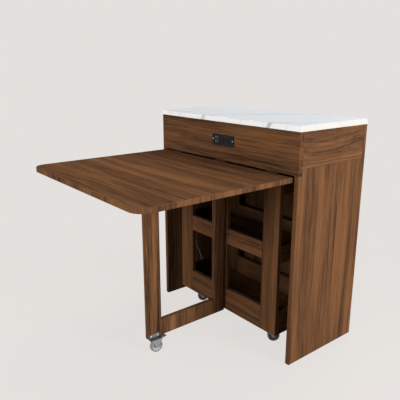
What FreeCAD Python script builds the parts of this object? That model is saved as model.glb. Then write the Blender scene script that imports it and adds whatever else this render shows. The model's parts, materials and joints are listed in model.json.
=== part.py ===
import FreeCAD, Part
import os
import re
import Sketcher

# Kitchen table: a stone worktop on a narrow carcass, a drop leaf held up by a swing gate,
# and a storage rack on casters that rolls out from under the worktop.
#
# Millimetres, +X to the right, +Y to the back, +Z up.  The origin lies on the floor under
# the middle of the table as it stands with the leaf up.

os.makedirs("parts", exist_ok=True)
doc = FreeCAD.newDocument("KitchenTable")

# ---------------------------------------------------------------- driving dimensions

DIMENSIONS = {
    # carcass
    "table_width": 800,
    "carcass_depth": 380,
    "table_height": 895,
    "slab_thick": 20,
    "board": 18,
    "apron_height": 150,
    "side_apron_height": 126,
    "batten_width": 60,
    "edge_break": 0.8,
    # drop leaf and its butt hinges
    "leaf_reach": 620,
    "leaf_thick": 18,
    "leaf_play": 2,
    "leaf_corner": 50,
    "hinge_gap": 5,
    "hinge_length": 60,
    "hinge_spacing": 280,
    "hinge_plate": 1.2,
    "hinge_plate_width": 18,
    "hinge_pin_radius": 1.2,
    # storage rack
    "rack_width": 600,
    "rack_depth": 302,
    "rack_headroom": 6,
    "rack_setback": 26,
    "underside": 66,
    "stile": 82,
    "centre_stile": 32,
    "bottom_rail": 100,
    "middle_rail": 67,
    "top_rail": 59,
    "shelf": 16,
    # swing gate
    "gate_thick": 18,
    "gate_offset": 4.5,
    "gate_length": 384.5,
    "gate_free_stile": 63,
    "gate_hinge_stile": 59.5,
    "gate_bottom_rail": 66,
    "gate_top_rail": 60,
    "gate_gap": 5,
    "gate_play": 0.5,
    "pivot_radius": 2,
    "pivot_length": 64,
    "tab_width": 10,
    "tab_thick": 2,
    "tab_inset": 42,
    "tab_tail": 14,
    "tab_slot_reach": 1.5,
    # casters
    "wheel_radius": 25,
    "wheel_width": 18,
    "wheel_side_play": 0.8,
    "rim_radius": 19,
    "rim_recess": 3,
    "tread_corner": 2.5,
    "hub_radius": 7,
    "axle_radius": 3,
    "axle_head_radius": 5,
    "axle_head": 1.2,
    "cheek": 2,
    "boss_radius": 7,
    "caster_plate": 44,
    "caster_plate_thick": 2.5,
    "plate_corner": 5,
    "plate_screw_spread": 16,
    "kingpin_radius": 4,
    "kingpin_head_radius": 6,
    "kingpin_head": 1.5,
    "kingpin_lift": 0.2,
    "swivel_radius": 15,
    "swivel_gap": 0.4,
    "hood_top": 56,
    "hood_web": 2.5,
    "hood_drop": 8,
    "hood_lip": 46,
    "rack_hood_front": 18,
    "rack_hood_rear": 32,
    "rack_trail": 20,
    "rack_caster_turn": 51,
    "rack_caster_side": 71,
    "rack_caster_front": 44,
    "gate_hood_front": 24,
    "gate_hood_rear": 36,
    "gate_trail": 12,
    "gate_caster_inset": 27.5,
    "gate_caster_side": 3.5,
    "bracket_lip": 16,
    "bracket_lip_thick": 2,
    "lip_screw_spread": 14,
    "brake_pin_radius": 2,
    "brake_reach": 31,
    "brake_height": 50,
    "pedal_slot_start": 24,
    "pedal_slot_end": 60,
    "running_play": 0.05,
    # screw heads
    "screw_head_radius": 3.4,
    "screw_head": 1.4,
    "hinge_screw_radius": 3,
    "hinge_screw_head": 0.6,
    "hinge_screw_spread": 20,
    "hinge_screw_drop": 11,
    # power outlet in the apron
    "outlet_x": 14,
    "outlet_rise": 81,
    "outlet_width": 128,
    "outlet_height": 43,
    "outlet_face": 3,
    "outlet_corner": 4,
    "outlet_rim": 1,
    "outlet_body_width": 98,
    "outlet_body_height": 34,
    "outlet_body_depth": 42,
    "outlet_play": 1,
    "outlet_screw_x": 57,
    "screw_radius": 1.7,
    "screw_length": 17,
    "outlet_screw_head_radius": 3.2,
    "outlet_screw_head": 1.5,
    "gland_radius": 7,
    "gland_bore": 3.5,
    "gland_length": 12,
    "gland_bore_depth": 16,
    "gland_inset": 14,
    "port_depth": 12,
    "usb_x": 36,
    "usb_spacing": 13,
    "usb_width": 13,
    "usb_height": 5.4,
    "socket_x": 7,
    "socket_spacing": 26,
    "blade_spacing": 12.8,
    "blade_width": 2.2,
    "blade_height": 8,
    "blade_rise": 2,
    "earth_drop": 8,
    "earth_radius": 2.6,
    # cabin hook between rack and side panel
    "hook_radius": 1.6,
    "hook_eye_radius": 5,
    "hook_setback": 140,
    "hook_clear": 13,
    "hook_bend": 6,
    "screw_eye_radius": 6,
    "screw_eye_wire": 1.5,
    "screw_eye_shank": 3.5,
    "catch_setback": 77,
    "catch_foot": 305,
    "catch_width": 16,
    "catch_height": 36,
    "catch_thick": 1.5,
    "catch_stud": 3,
}

# Sizes that follow from others, as expressions on the names above.
DERIVED = {
    "front_y": "(leaf_reach - carcass_depth) / 2",
    "back_y": "front_y + carcass_depth",
    "left_x": "0 - table_width / 2",
    "right_x": "table_width / 2",
    "slab_bottom": "table_height - slab_thick",
    "apron_bottom": "slab_bottom - apron_height",
    "outlet_z": "apron_bottom + outlet_rise",
    "panel_top": "slab_bottom - side_apron_height",
    "panel_depth": "carcass_depth - board",
    "inner_left": "left_x + board",
    "inner_right": "right_x - board",
    "leaf_top": "apron_bottom - hinge_gap",
    "leaf_bottom": "leaf_top - leaf_thick",
    "leaf_width": "table_width - 2 * board - 2 * leaf_play",
    "leaf_length": "leaf_reach - hinge_gap",
    "hinge_radius": "hinge_gap / 2",
    "hinge_y": "front_y - hinge_radius",
    "hinge_z": "apron_bottom - hinge_radius",
    "rack_left": "0 - rack_width / 2",
    "rack_right": "rack_width / 2",
    "rack_front": "front_y + rack_setback",
    "rack_back": "rack_front + rack_depth",
    "rack_top": "leaf_bottom - rack_headroom",
    "rail_total": "bottom_rail + middle_rail + top_rail",
    "opening": "(rack_top - underside - rail_total) / 2",
    "low_opening": "underside + bottom_rail",
    "middle_z": "low_opening + opening",
    "high_opening": "middle_z + middle_rail",
    "top_rail_z": "high_opening + opening",
    "pivot_y": "rack_front - gate_gap - gate_thick / 2",
    "gate_height": "leaf_bottom - gate_play - underside",
    "gate_lower_tab": "tab_inset",
    "gate_upper_tab": "gate_height - tab_inset - tab_thick",
    "plate_bottom": "underside - caster_plate_thick",
    "fork_inner": "wheel_width + 2 * wheel_side_play",
    "fork_outer": "fork_inner + 2 * cheek",
    "hood_under": "hood_top - hood_web",
    "gate_caster_x": "gate_offset + gate_caster_side",
    "gate_caster_y": "pivot_y - gate_length + gate_caster_inset",
    "rack_caster_x": "rack_width / 2 - rack_caster_side",
    "rack_caster_y1": "rack_front + rack_caster_front",
    "rack_caster_y2": "rack_back - rack_caster_front",
}

sheet = doc.addObject("Spreadsheet::Sheet", "Dims")
for row, (alias, value) in enumerate(DIMENSIONS.items(), start=1):
    sheet.set(f"A{row}", alias)
    sheet.set(f"B{row}", str(value))
    sheet.setAlias(f"B{row}", alias)
doc.recompute()

# ---------------------------------------------------------------- drawing helpers


def bound(text):
    """Spell a sum of dimension names as an expression on the sheet."""
    def replace(match):
        word = match.group(0)
        if word in DERIVED:
            return "(" + bound(DERIVED[word]) + ")"
        return "Dims." + word if word in DIMENSIONS else word
    return re.sub(r"[a-z][a-z_0-9]*", replace, str(text))


def bind(item, **sizes):
    """Bind properties of an object to expressions."""
    for name, text in sizes.items():
        item.setExpression(name, bound(text))


def place(item, x="0", y="0", z="0", rotation=None, turn=None):
    """Put an object at bound coordinates, turned about +Z or by a fixed rotation."""
    rotation = rotation or FreeCAD.Rotation(FreeCAD.Vector(0, 0, 1), 0)
    item.Placement = FreeCAD.Placement(FreeCAD.Vector(0, 0, 0), rotation)
    for axis, text in zip("xyz", (x, y, z)):
        item.setExpression(f"Placement.Base.{axis}", bound(text))
    if turn is not None:
        item.setExpression("Placement.Rotation.Angle", bound(turn))


def new_body(name, x="0", y="0", z="0", **turning):
    body = doc.addObject("PartDesign::Body", name)
    body.Label = name
    place(body, x, y, z, **turning)
    return body


def origin_item(body, role):
    return next(item for item in body.Origin.OriginFeatures if item.Role == role)


def new_sketch(body, plane, offset=None):
    """An empty sketch on one of the body's own planes, shifted along its normal."""
    sketch = body.newObject("Sketcher::SketchObject", body.Name + "_sketch")
    sketch.AttachmentSupport = [(origin_item(body, plane), "")]
    sketch.MapMode = "FlatFace"
    if offset is not None:
        sketch.setExpression("AttachmentOffset.Base.z", bound(offset))
    return sketch


def pin_point(sketch, geometry, end, x, y):
    """Hold one point of the sketch at bound coordinates."""
    for kind, text in (("DistanceX", x), ("DistanceY", y)):
        index = sketch.addConstraint(Sketcher.Constraint(kind, -1, 1, geometry, end, 1.0))
        sketch.setExpression(f"Constraints[{index}]", bound(text))


def draw_polygon(sketch, points):
    """A closed outline through bound points."""
    first = sketch.GeometryCount
    count = len(points)
    rough = [FreeCAD.Vector(i, i * i % 5, 0) for i in range(count)]
    for i in range(count):
        sketch.addGeometry(Part.LineSegment(rough[i], rough[(i + 1) % count]), False)
    for i in range(count):
        following = first + (i + 1) % count
        sketch.addConstraint(Sketcher.Constraint("Coincident", first + i, 2, following, 1))
    for i, (x, y) in enumerate(points):
        pin_point(sketch, first + i, 1, x, y)


def draw_rectangle(sketch, x, y):
    """A rectangle between bound low and high coordinates."""
    (x0, x1), (y0, y1) = x, y
    draw_polygon(sketch, [(x0, y0), (x1, y0), (x1, y1), (x0, y1)])


def draw_circle(sketch, x, y, radius):
    centre = FreeCAD.Vector(1, 1, 0)
    index = sketch.addGeometry(Part.Circle(centre, FreeCAD.Vector(0, 0, 1), 1), False)
    pin_point(sketch, index, 3, x, y)
    size = sketch.addConstraint(Sketcher.Constraint("Radius", index, 1.0))
    sketch.setExpression(f"Constraints[{size}]", bound(radius))


def draw_tongue(sketch, radius, end_y):
    """A strip as wide as the circle that closes it at the sketch origin."""
    circle = Part.Circle(FreeCAD.Vector(0, 0, 0), FreeCAD.Vector(0, 0, 1), 1)
    away = end_y.startswith("0 -")
    start, stop = (0, 3.14159) if away else (3.14159, 6.28318)
    arc = sketch.addGeometry(Part.ArcOfCircle(circle, start, stop), False)
    side = -1 if away else 1
    corners = [(1, 0), (1, side * 5), (-1, side * 5), (-1, 0)]
    if not away:
        corners.reverse()
    spots = [FreeCAD.Vector(x, y, 0) for x, y in corners]
    lines = []
    for a, b in zip(spots, spots[1:]):
        lines.append(sketch.addGeometry(Part.LineSegment(a, b), False))
    join = sketch.addConstraint
    join(Sketcher.Constraint("Coincident", arc, 3, -1, 1))
    join(Sketcher.Constraint("PointOnObject", arc, 1, -1))
    join(Sketcher.Constraint("PointOnObject", arc, 2, -1))
    join(Sketcher.Constraint("Coincident", arc, 1, lines[0], 1))
    join(Sketcher.Constraint("Coincident", lines[0], 2, lines[1], 1))
    join(Sketcher.Constraint("Coincident", lines[1], 2, lines[2], 1))
    join(Sketcher.Constraint("Coincident", lines[2], 2, arc, 2))
    first_x = radius if away else f"0 - ({radius})"
    last_x = f"0 - ({radius})" if away else radius
    size = join(Sketcher.Constraint("Radius", arc, 1.0))
    sketch.setExpression(f"Constraints[{size}]", bound(radius))
    pin_point(sketch, lines[1], 1, first_x, end_y)
    pin_point(sketch, lines[1], 2, last_x, end_y)


def pad(body, sketch, length, reverse=False, symmetric=False):
    feature = body.newObject("PartDesign::Pad", body.Name + "_pad")
    feature.Profile = sketch
    feature.Reversed = reverse
    feature.SideType = "Symmetric" if symmetric else "One side"
    bind(feature, Length=length)
    doc.recompute()
    return feature


def pocket(body, sketch, depth=None, reverse=False):
    """Cut a sketch into the body: to a depth, or right through both ways."""
    before = body.Shape.Volume
    feature = body.newObject("PartDesign::Pocket", body.Name + "_pocket")
    feature.Profile = sketch
    feature.Reversed = reverse
    if depth is None:
        feature.Type = "ThroughAll"
        feature.SideType = "Symmetric"
    else:
        bind(feature, Length=depth)
    doc.recompute()
    if not body.Shape.Volume < before:
        raise RuntimeError(f"{body.Label}: a pocket cut nothing")
    return feature


def break_edges(body, names=None, size="edge_break"):
    """Chamfer the named edges of the body, or all of them."""
    base = body.Tip
    feature = body.newObject("PartDesign::Chamfer", body.Name + "_chamfer")
    feature.Base = (base, names or [""])
    feature.UseAllEdges = names is None
    bind(feature, Size=size)
    doc.recompute()
    return feature


def round_edges(body, names, radius):
    base = body.Tip
    feature = body.newObject("PartDesign::Fillet", body.Name + "_fillet")
    feature.Base = (base, names)
    bind(feature, Radius=radius)
    doc.recompute()
    return feature


def edges_where(shape, test):
    return [f"Edge{i}" for i, edge in enumerate(shape.Edges, start=1) if test(edge)]


def runs_along(edge, axis):
    """Whether a straight edge runs along the axis 0, 1 or 2."""
    ends = [vertex.Point for vertex in edge.Vertexes]
    if len(ends) < 2:
        return False
    return all(abs(ends[0][i] - ends[1][i]) < 1e-6 for i in range(3) if i != axis)


def lies_at_front(edge, shape):
    """Whether an edge lies in the frontmost plane of the shape."""
    return edge.BoundBox.YMax < shape.BoundBox.YMin + 1e-3


def board(name, x, y, z):
    """A plain board between bound low and high coordinates, with its edges broken."""
    body = new_body(name, x[0], y[0], z[0])
    sketch = new_sketch(body, "XY_Plane")
    width, depth, height = (f"({high}) - ({low})" for low, high in (x, y, z))
    draw_rectangle(sketch, ("0", width), ("0", depth))
    pad(body, sketch, height)
    break_edges(body)
    return body


def box(x, y, z):
    """A Part box between bound low and high coordinates."""
    item = doc.addObject("Part::Box", "block")
    place(item, x[0], y[0], z[0])
    sizes = [f"({high}) - ({low})" for low, high in (x, y, z)]
    bind(item, Length=sizes[0], Width=sizes[1], Height=sizes[2])
    return item


def rod(radius, length, x, y, z, rotation=None):
    """A Part cylinder that starts at a bound point and runs along +Z unless turned."""
    item = doc.addObject("Part::Cylinder", "rod")
    bind(item, Radius=radius, Height=length)
    place(item, x, y, z, rotation=rotation)
    return item


def cut(base, tools):
    item = doc.addObject("Part::Cut", "cut")
    item.Base = base
    item.Tool = group("tools", tools) if len(tools) > 1 else tools[0]
    return item


def group(name, members):
    """Several members as one sub-part; those that touch become one solid."""
    item = doc.addObject("Part::MultiFuse", name)
    item.Label = name
    item.Shapes = members
    return item


def together(name, members):
    """Several finished pieces as one sub-part, each still a solid of its own."""
    item = doc.addObject("Part::Compound", name)
    item.Label = name
    item.Links = members
    return item


ALONG_X = FreeCAD.Rotation(FreeCAD.Vector(0, 1, 0), 90)
ALONG_BACK = FreeCAD.Rotation(FreeCAD.Vector(1, 0, 0), -90)
ACROSS_X = ("left_x", "right_x")
INSIDE_X = ("inner_left", "inner_right")
sub_parts = []

# ---------------------------------------------------------------- carcass

slab_y = ("front_y", "back_y")
sub_parts.append(board("worktop_slab", ACROSS_X, slab_y, ("slab_bottom", "table_height")))

# Each side panel is notched at its top front corner, where the front apron passes over it.
for side, foot_x in (("left", "left_x"), ("right", "inner_right")):
    panel = new_body(f"side_panel_{side}", foot_x, "front_y", "0")
    outline = new_sketch(panel, "YZ_Plane")
    draw_polygon(outline, [
        ("0", "0"),
        ("panel_depth", "0"),
        ("panel_depth", "panel_top"),
        ("board", "panel_top"),
        ("board", "apron_bottom"),
        ("0", "apron_bottom"),
    ])
    pad(panel, outline, "board")
    break_edges(panel)
    sub_parts.append(panel)

behind_front = "front_y + board"
before_back = "back_y - board"
side_y = (behind_front, before_back)
side_apron_z = ("panel_top", "slab_bottom")
apron_floor_z = ("apron_bottom", "apron_bottom + board")
sub_parts.append(board("side_apron_left", ("left_x", "inner_left"), side_y, side_apron_z))
sub_parts.append(board("side_apron_right", ("inner_right", "right_x"), side_y, side_apron_z))
sub_parts.append(board("back_panel", ACROSS_X, (before_back, "back_y"), ("0", "slab_bottom")))
sub_parts.append(board("apron_floor", INSIDE_X, side_y, apron_floor_z))

# The front apron has a cut-out for the outlet body and a pilot hole for each of its screws.
front_y = ("front_y", behind_front)
apron = board("front_apron", ACROSS_X, front_y, ("apron_bottom", "slab_bottom"))
cutout = new_sketch(apron, "XZ_Plane")
centre_x = "outlet_x - left_x"
centre_z = "outlet_z - apron_bottom"
half_width = "outlet_body_width / 2 + outlet_play"
half_height = "outlet_body_height / 2 + outlet_play"
draw_rectangle(
    cutout,
    (f"{centre_x} - ({half_width})", f"{centre_x} + {half_width}"),
    (f"{centre_z} - ({half_height})", f"{centre_z} + {half_height}"),
)
for sign in "-+":
    hole_x = f"{centre_x} {sign} outlet_screw_x"
    draw_circle(cutout, hole_x, centre_z, "screw_radius + running_play")
pocket(apron, cutout)
sub_parts.append(apron)

# Battens under the slab tie the four apron boards together.
batten_z = ("slab_bottom - board", "slab_bottom")
front_batten_y = (behind_front, f"{behind_front} + batten_width")
rear_batten_y = (f"{before_back} - batten_width", before_back)
middle_batten_y = (front_batten_y[1], rear_batten_y[0])
sub_parts.append(board("slab_batten_front", INSIDE_X, front_batten_y, batten_z))
sub_parts.append(board("slab_batten_rear", INSIDE_X, rear_batten_y, batten_z))
middle_x = ("0 - batten_width / 2", "batten_width / 2")
sub_parts.append(board("slab_batten_middle", middle_x, middle_batten_y, batten_z))

# ---------------------------------------------------------------- power outlet

# A black bar: two USB ports and two mains sockets, with a cord gland behind.
outlet = new_body("outlet_bar", "outlet_x", "front_y", "outlet_z")
face = new_sketch(outlet, "XZ_Plane")
face_x = ("0 - outlet_width / 2", "outlet_width / 2")
face_z = ("0 - outlet_height / 2", "outlet_height / 2")
draw_rectangle(face, face_x, face_z)
pad(outlet, face, "outlet_face")
corners = edges_where(outlet.Shape, lambda edge: runs_along(edge, 1))
round_edges(outlet, corners, "outlet_corner")
front_rim = edges_where(outlet.Shape, lambda edge: lies_at_front(edge, outlet.Shape))
break_edges(outlet, front_rim, "outlet_rim")

inner_block = new_sketch(outlet, "XZ_Plane")
block_x = ("0 - outlet_body_width / 2", "outlet_body_width / 2")
block_z = ("0 - outlet_body_height / 2", "outlet_body_height / 2")
draw_rectangle(inner_block, block_x, block_z)
pad(outlet, inner_block, "outlet_body_depth", reverse=True)

gland_x = "outlet_body_width / 2 - gland_inset"
gland = new_sketch(outlet, "XZ_Plane", "0 - outlet_body_depth")
draw_circle(gland, gland_x, "0", "gland_radius")
pad(outlet, gland, "gland_length", reverse=True)
gland_bore = new_sketch(outlet, "XZ_Plane", "0 - outlet_body_depth - gland_length")
draw_circle(gland_bore, gland_x, "0", "gland_bore")
pocket(outlet, gland_bore, "gland_bore_depth", reverse=True)

ports = new_sketch(outlet, "XZ_Plane", "outlet_face")
usb_x = ("0 - usb_x - usb_width / 2", "usb_width / 2 - usb_x")
for middle in ("usb_spacing / 2", "0 - usb_spacing / 2"):
    draw_rectangle(ports, usb_x, (f"{middle} - usb_height / 2", f"{middle} + usb_height / 2"))
for socket in ("socket_x", "socket_x + socket_spacing"):
    for blade in (f"{socket} - blade_spacing / 2", f"{socket} + blade_spacing / 2"):
        blade_x = (f"{blade} - blade_width / 2", f"{blade} + blade_width / 2")
        draw_rectangle(ports, blade_x, ("blade_rise - blade_height / 2", "blade_rise + blade_height / 2"))
    draw_circle(ports, socket, "0 - earth_drop", "earth_radius")
pocket(outlet, ports, "port_depth")

screw_holes = new_sketch(outlet, "XZ_Plane")
for hole_x in ("0 - outlet_screw_x", "outlet_screw_x"):
    draw_circle(screw_holes, hole_x, "0", "screw_radius + running_play")
pocket(outlet, screw_holes)
sub_parts.append(outlet)

screws = []
shank_y = "front_y - outlet_face"
head_y = f"{shank_y} - outlet_screw_head"
for sign in "-+":
    screw_x = f"outlet_x {sign} outlet_screw_x"
    screws.append(rod("screw_radius", "screw_length", screw_x, shank_y, "outlet_z", ALONG_BACK))
    screws.append(rod("outlet_screw_head_radius", "outlet_screw_head", screw_x, head_y, "outlet_z",
                      ALONG_BACK))
sub_parts.append(group("outlet_screws", screws))

# ---------------------------------------------------------------- drop leaf

leaf = new_body("leaf_board", "0 - leaf_width / 2", "front_y - leaf_reach", "leaf_bottom")
plan = new_sketch(leaf, "XY_Plane")
draw_rectangle(plan, ("0", "leaf_width"), ("0", "leaf_length"))
pad(leaf, plan, "leaf_thick")
front_corners = edges_where(
    leaf.Shape,
    lambda edge: runs_along(edge, 2) and lies_at_front(edge, leaf.Shape),
)
round_edges(leaf, front_corners, "leaf_corner")
break_edges(leaf)
sub_parts.append(leaf)

# Three butt hinges in the gap between apron and leaf.  The fixed plates lie flat under the
# apron and carry the outer knuckles, the moving plates stand on the rear edge of the leaf.
fixed_plates = []
moving_plates = []
pins = []
fixed_screws = []
moving_screws = []
knuckle_play = "0.2"
knuckle_clear = "0.3"
fixed_plate_y = ("hinge_y", "hinge_y + hinge_plate_width")
fixed_plate_z = ("apron_bottom - hinge_plate", "apron_bottom")
gap_y = ("hinge_y - hinge_gap", f"hinge_y + hinge_radius + {knuckle_play}")
gap_z = ("hinge_z - hinge_gap", "hinge_z + hinge_gap")
flag_top = f"hinge_z - hinge_radius - {knuckle_clear}"
flag_y = ("hinge_y - hinge_radius", "hinge_y - hinge_radius + hinge_plate")
bore_radius = "hinge_pin_radius + running_play"
fixed_screw_y = "front_y + board / 2"
fixed_screw_z = "apron_bottom - hinge_plate - hinge_screw_head"
moving_screw_y = "front_y - hinge_gap + hinge_plate"
for middle in ("0 - hinge_spacing", "0", "hinge_spacing"):
    start = f"{middle} - hinge_length / 2"
    stop = f"{middle} + hinge_length / 2"
    inner_start = f"{middle} - hinge_length / 6"
    inner_stop = f"{middle} + hinge_length / 6"
    gap_x = (f"{inner_start} - {knuckle_play}", f"{inner_stop} + {knuckle_play}")
    bore = rod(bore_radius, "hinge_length", start, "hinge_y", "hinge_z", ALONG_X)
    plate = box((start, stop), fixed_plate_y, fixed_plate_z)
    barrel = rod("hinge_radius", "hinge_length", start, "hinge_y", "hinge_z", ALONG_X)
    middle_gap = box(gap_x, gap_y, gap_z)
    fixed_plates.append(cut(group("fixed_blank", [plate, barrel]), [bore, middle_gap]))

    inner_bore = rod(bore_radius, "hinge_length / 3", inner_start, "hinge_y", "hinge_z", ALONG_X)
    knuckle = rod("hinge_radius", "hinge_length / 3", inner_start, "hinge_y", "hinge_z", ALONG_X)
    web = box((inner_start, inner_stop), flag_y, (flag_top, "hinge_z"))
    flag = box((start, stop), flag_y, ("hinge_z - hinge_plate_width", flag_top))
    moving_plates.append(cut(group("moving_blank", [flag, web, knuckle]), [inner_bore]))
    pins.append(rod("hinge_pin_radius", "hinge_length", start, "hinge_y", "hinge_z", ALONG_X))
    for sign in "-+":
        screw_x = f"{middle} {sign} hinge_screw_spread"
        fixed_screws.append(rod("hinge_screw_radius", "hinge_screw_head", screw_x, fixed_screw_y,
                                fixed_screw_z))
        moving_screws.append(rod("hinge_screw_radius", "hinge_screw_head", screw_x, moving_screw_y,
                                 "hinge_z - hinge_screw_drop", ALONG_BACK))
sub_parts.append(group("leaf_hinge_fixed_plates", fixed_plates))
sub_parts.append(group("leaf_hinge_moving_plates", moving_plates))
sub_parts.append(group("leaf_hinge_pins", pins))
sub_parts.append(group("leaf_hinge_fixed_screws", fixed_screws))
sub_parts.append(group("leaf_hinge_moving_screws", moving_screws))

# ---------------------------------------------------------------- storage rack

rack_z = ("underside", "rack_top")
front_frame_y = ("rack_front", "rack_front + board")
back_frame_y = ("rack_back - board", "rack_back")
between_frames_y = (front_frame_y[1], back_frame_y[0])
left_stile_x = ("rack_left", "rack_left + stile")
right_stile_x = ("rack_right - stile", "rack_right")
rail_x = (left_stile_x[1], right_stile_x[0])
centre_x_span = ("0 - centre_stile / 2", "centre_stile / 2")
RAILS = (
    ("bottom", ("underside", "low_opening")),
    ("middle", ("middle_z", "high_opening")),
    ("top", ("top_rail_z", "rack_top")),
)
CENTRES = (
    ("lower", ("low_opening", "middle_z")),
    ("upper", ("high_opening", "top_rail_z")),
)
for end, frame_y in (("front", front_frame_y), ("back", back_frame_y)):
    stiles = [
        board(f"rack_{end}_stile_left", left_stile_x, frame_y, rack_z),
        board(f"rack_{end}_stile_right", right_stile_x, frame_y, rack_z),
    ]
    rails = [board(f"rack_{end}_rail_{level}", rail_x, frame_y, rail_z) for level, rail_z in RAILS]
    centres = [
        board(f"rack_{end}_centre_{level}", centre_x_span, frame_y, centre_z_span)
        for level, centre_z_span in CENTRES
    ]
    sub_parts.append(together(f"rack_{end}_centres", centres))
    if end == "front":
        sub_parts.extend(stiles + rails)
    else:
        sub_parts.append(together("rack_back_stiles", stiles))
        sub_parts.append(together("rack_back_rails", rails))

# The pivot tabs of the gate are let into the front of the bottom and the top rail.
MORTISES = (
    ("bottom", "gate_lower_tab", "underside"),
    ("top", "gate_upper_tab", "top_rail_z"),
)
for level, tab_z, rail_foot in MORTISES:
    rail = doc.getObject(f"rack_front_rail_{level}")
    mortise = new_sketch(rail, "XZ_Plane")
    middle = "gate_offset + rack_width / 2 - stile"
    foot = f"underside + {tab_z} - ({rail_foot})"
    draw_rectangle(
        mortise,
        (f"{middle} - tab_width / 2", f"{middle} + tab_width / 2"),
        (foot, f"{foot} + tab_thick"),
    )
    pocket(rail, mortise, "tab_tail")

left_side_x = ("rack_left", "rack_left + board")
right_side_x = ("rack_right - board", "rack_right")
for level, rail_z in RAILS:
    pair = [
        board(f"rack_{side}_{level}_board", side_x, between_frames_y, rail_z)
        for side, side_x in (("left", left_side_x), ("right", right_side_x))
    ]
    sub_parts.append(together(f"rack_sides_{level}", pair))

shelf_x = (left_side_x[1], right_side_x[0])
for name, foot in (("bottom", "underside"), ("middle", "middle_z"), ("top", "rack_top - shelf")):
    sub_parts.append(board(f"rack_shelf_{name}", shelf_x, between_frames_y, (foot, f"{foot} + shelf")))

# ---------------------------------------------------------------- swing gate

# One board on edge.  Its hinge edge is rounded about a pivot inside its own thickness, so
# the gate can fold flat against the rack and still nearly touch it when it stands out.
gate = new_body("gate_board", "gate_offset", "pivot_y", "underside")
gate_plan = new_sketch(gate, "XY_Plane")
draw_tongue(gate_plan, "gate_thick / 2", "0 - gate_length")
pad(gate, gate_plan, "gate_height")
gate_window = new_sketch(gate, "YZ_Plane")
draw_rectangle(
    gate_window,
    ("gate_free_stile - gate_length", "gate_thick / 2 - gate_hinge_stile"),
    ("gate_bottom_rail", "gate_height - gate_top_rail"),
)
pocket(gate, gate_window)
slots = new_sketch(gate, "YZ_Plane")
for foot in ("gate_lower_tab", "gate_upper_tab"):
    draw_rectangle(
        slots,
        ("0 - gate_thick / 2 - tab_slot_reach", "gate_thick"),
        (f"{foot} - gate_play", f"{foot} + tab_thick + gate_play"),
    )
pocket(gate, slots)
low_hole = new_sketch(gate, "XY_Plane")
draw_circle(low_hole, "0", "0", "pivot_radius + running_play")
pocket(gate, low_hole, "pivot_length", reverse=True)
high_hole = new_sketch(gate, "XY_Plane", "gate_height")
draw_circle(high_hole, "0", "0", "pivot_radius + running_play")
pocket(gate, high_hole, "pivot_length")
free_corners = edges_where(
    gate.Shape,
    lambda edge: runs_along(edge, 2) and lies_at_front(edge, gate.Shape),
)
break_edges(gate, free_corners)
sub_parts.append(gate)

upper_pin_z = "underside + gate_height - pivot_length"
pivot_pins = [
    rod("pivot_radius", "pivot_length", "gate_offset", "pivot_y", pin_z)
    for pin_z in ("underside", upper_pin_z)
]
sub_parts.append(group("gate_pivot_pins", pivot_pins))

# Steel tabs from the rack hold the pins; each ends in a round eye in a slot of the gate.
for level, foot in (("lower", "gate_lower_tab"), ("upper", "gate_upper_tab")):
    tab = new_body(f"gate_tab_{level}", "gate_offset", "pivot_y", f"underside + {foot}")
    tab_plan = new_sketch(tab, "XY_Plane")
    draw_tongue(tab_plan, "tab_width / 2", "rack_front - (pivot_y) + tab_tail")
    draw_circle(tab_plan, "0", "0", "pivot_radius + running_play")
    pad(tab, tab_plan, "tab_thick")
    sub_parts.append(tab)

# ---------------------------------------------------------------- casters


def caster_fork(name, x, y, turn, trail, hood_front, hood_rear, braked=False):
    """A hooded fork that swivels about its kingpin, with the wheel axle behind it."""
    fork = new_body(name, x, y, "0", turn=turn)
    cheeks = new_sketch(fork, "XZ_Plane")
    draw_polygon(cheeks, [
        (f"0 - {hood_front}", "hood_top"),
        (f"0 - {hood_front}", "hood_top - hood_drop"),
        (f"{trail} - boss_radius", "wheel_radius"),
        (f"{trail} + boss_radius", "wheel_radius"),
        (hood_rear, "hood_lip"),
        (hood_rear, "hood_top"),
    ])
    pad(fork, cheeks, "fork_outer", symmetric=True)
    boss = new_sketch(fork, "XZ_Plane")
    draw_circle(boss, trail, "wheel_radius", "boss_radius")
    pad(fork, boss, "fork_outer", symmetric=True)
    wheel_slot = new_sketch(fork, "YZ_Plane")
    draw_rectangle(wheel_slot, ("0 - fork_inner / 2", "fork_inner / 2"), ("0", "hood_under"))
    pocket(fork, wheel_slot)
    if braked:
        pedal_slot = new_sketch(fork, "XY_Plane")
        across = ("0 - fork_inner / 2", "fork_inner / 2")
        draw_rectangle(pedal_slot, ("pedal_slot_start", "pedal_slot_end"), across)
        pocket(fork, pedal_slot)
    axle_hole = new_sketch(fork, "XZ_Plane")
    draw_circle(axle_hole, trail, "wheel_radius", "axle_radius")
    if braked:
        draw_circle(axle_hole, "brake_reach", "brake_height", "brake_pin_radius")
    pocket(fork, axle_hole)
    race = new_sketch(fork, "XY_Plane", "hood_top")
    draw_circle(race, "0", "0", "swivel_radius")
    pad(fork, race, "plate_bottom - swivel_gap - hood_top")
    kingpin_hole = new_sketch(fork, "XY_Plane")
    draw_circle(kingpin_hole, "0", "0", "kingpin_radius + running_play")
    pocket(fork, kingpin_hole)
    return fork


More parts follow.
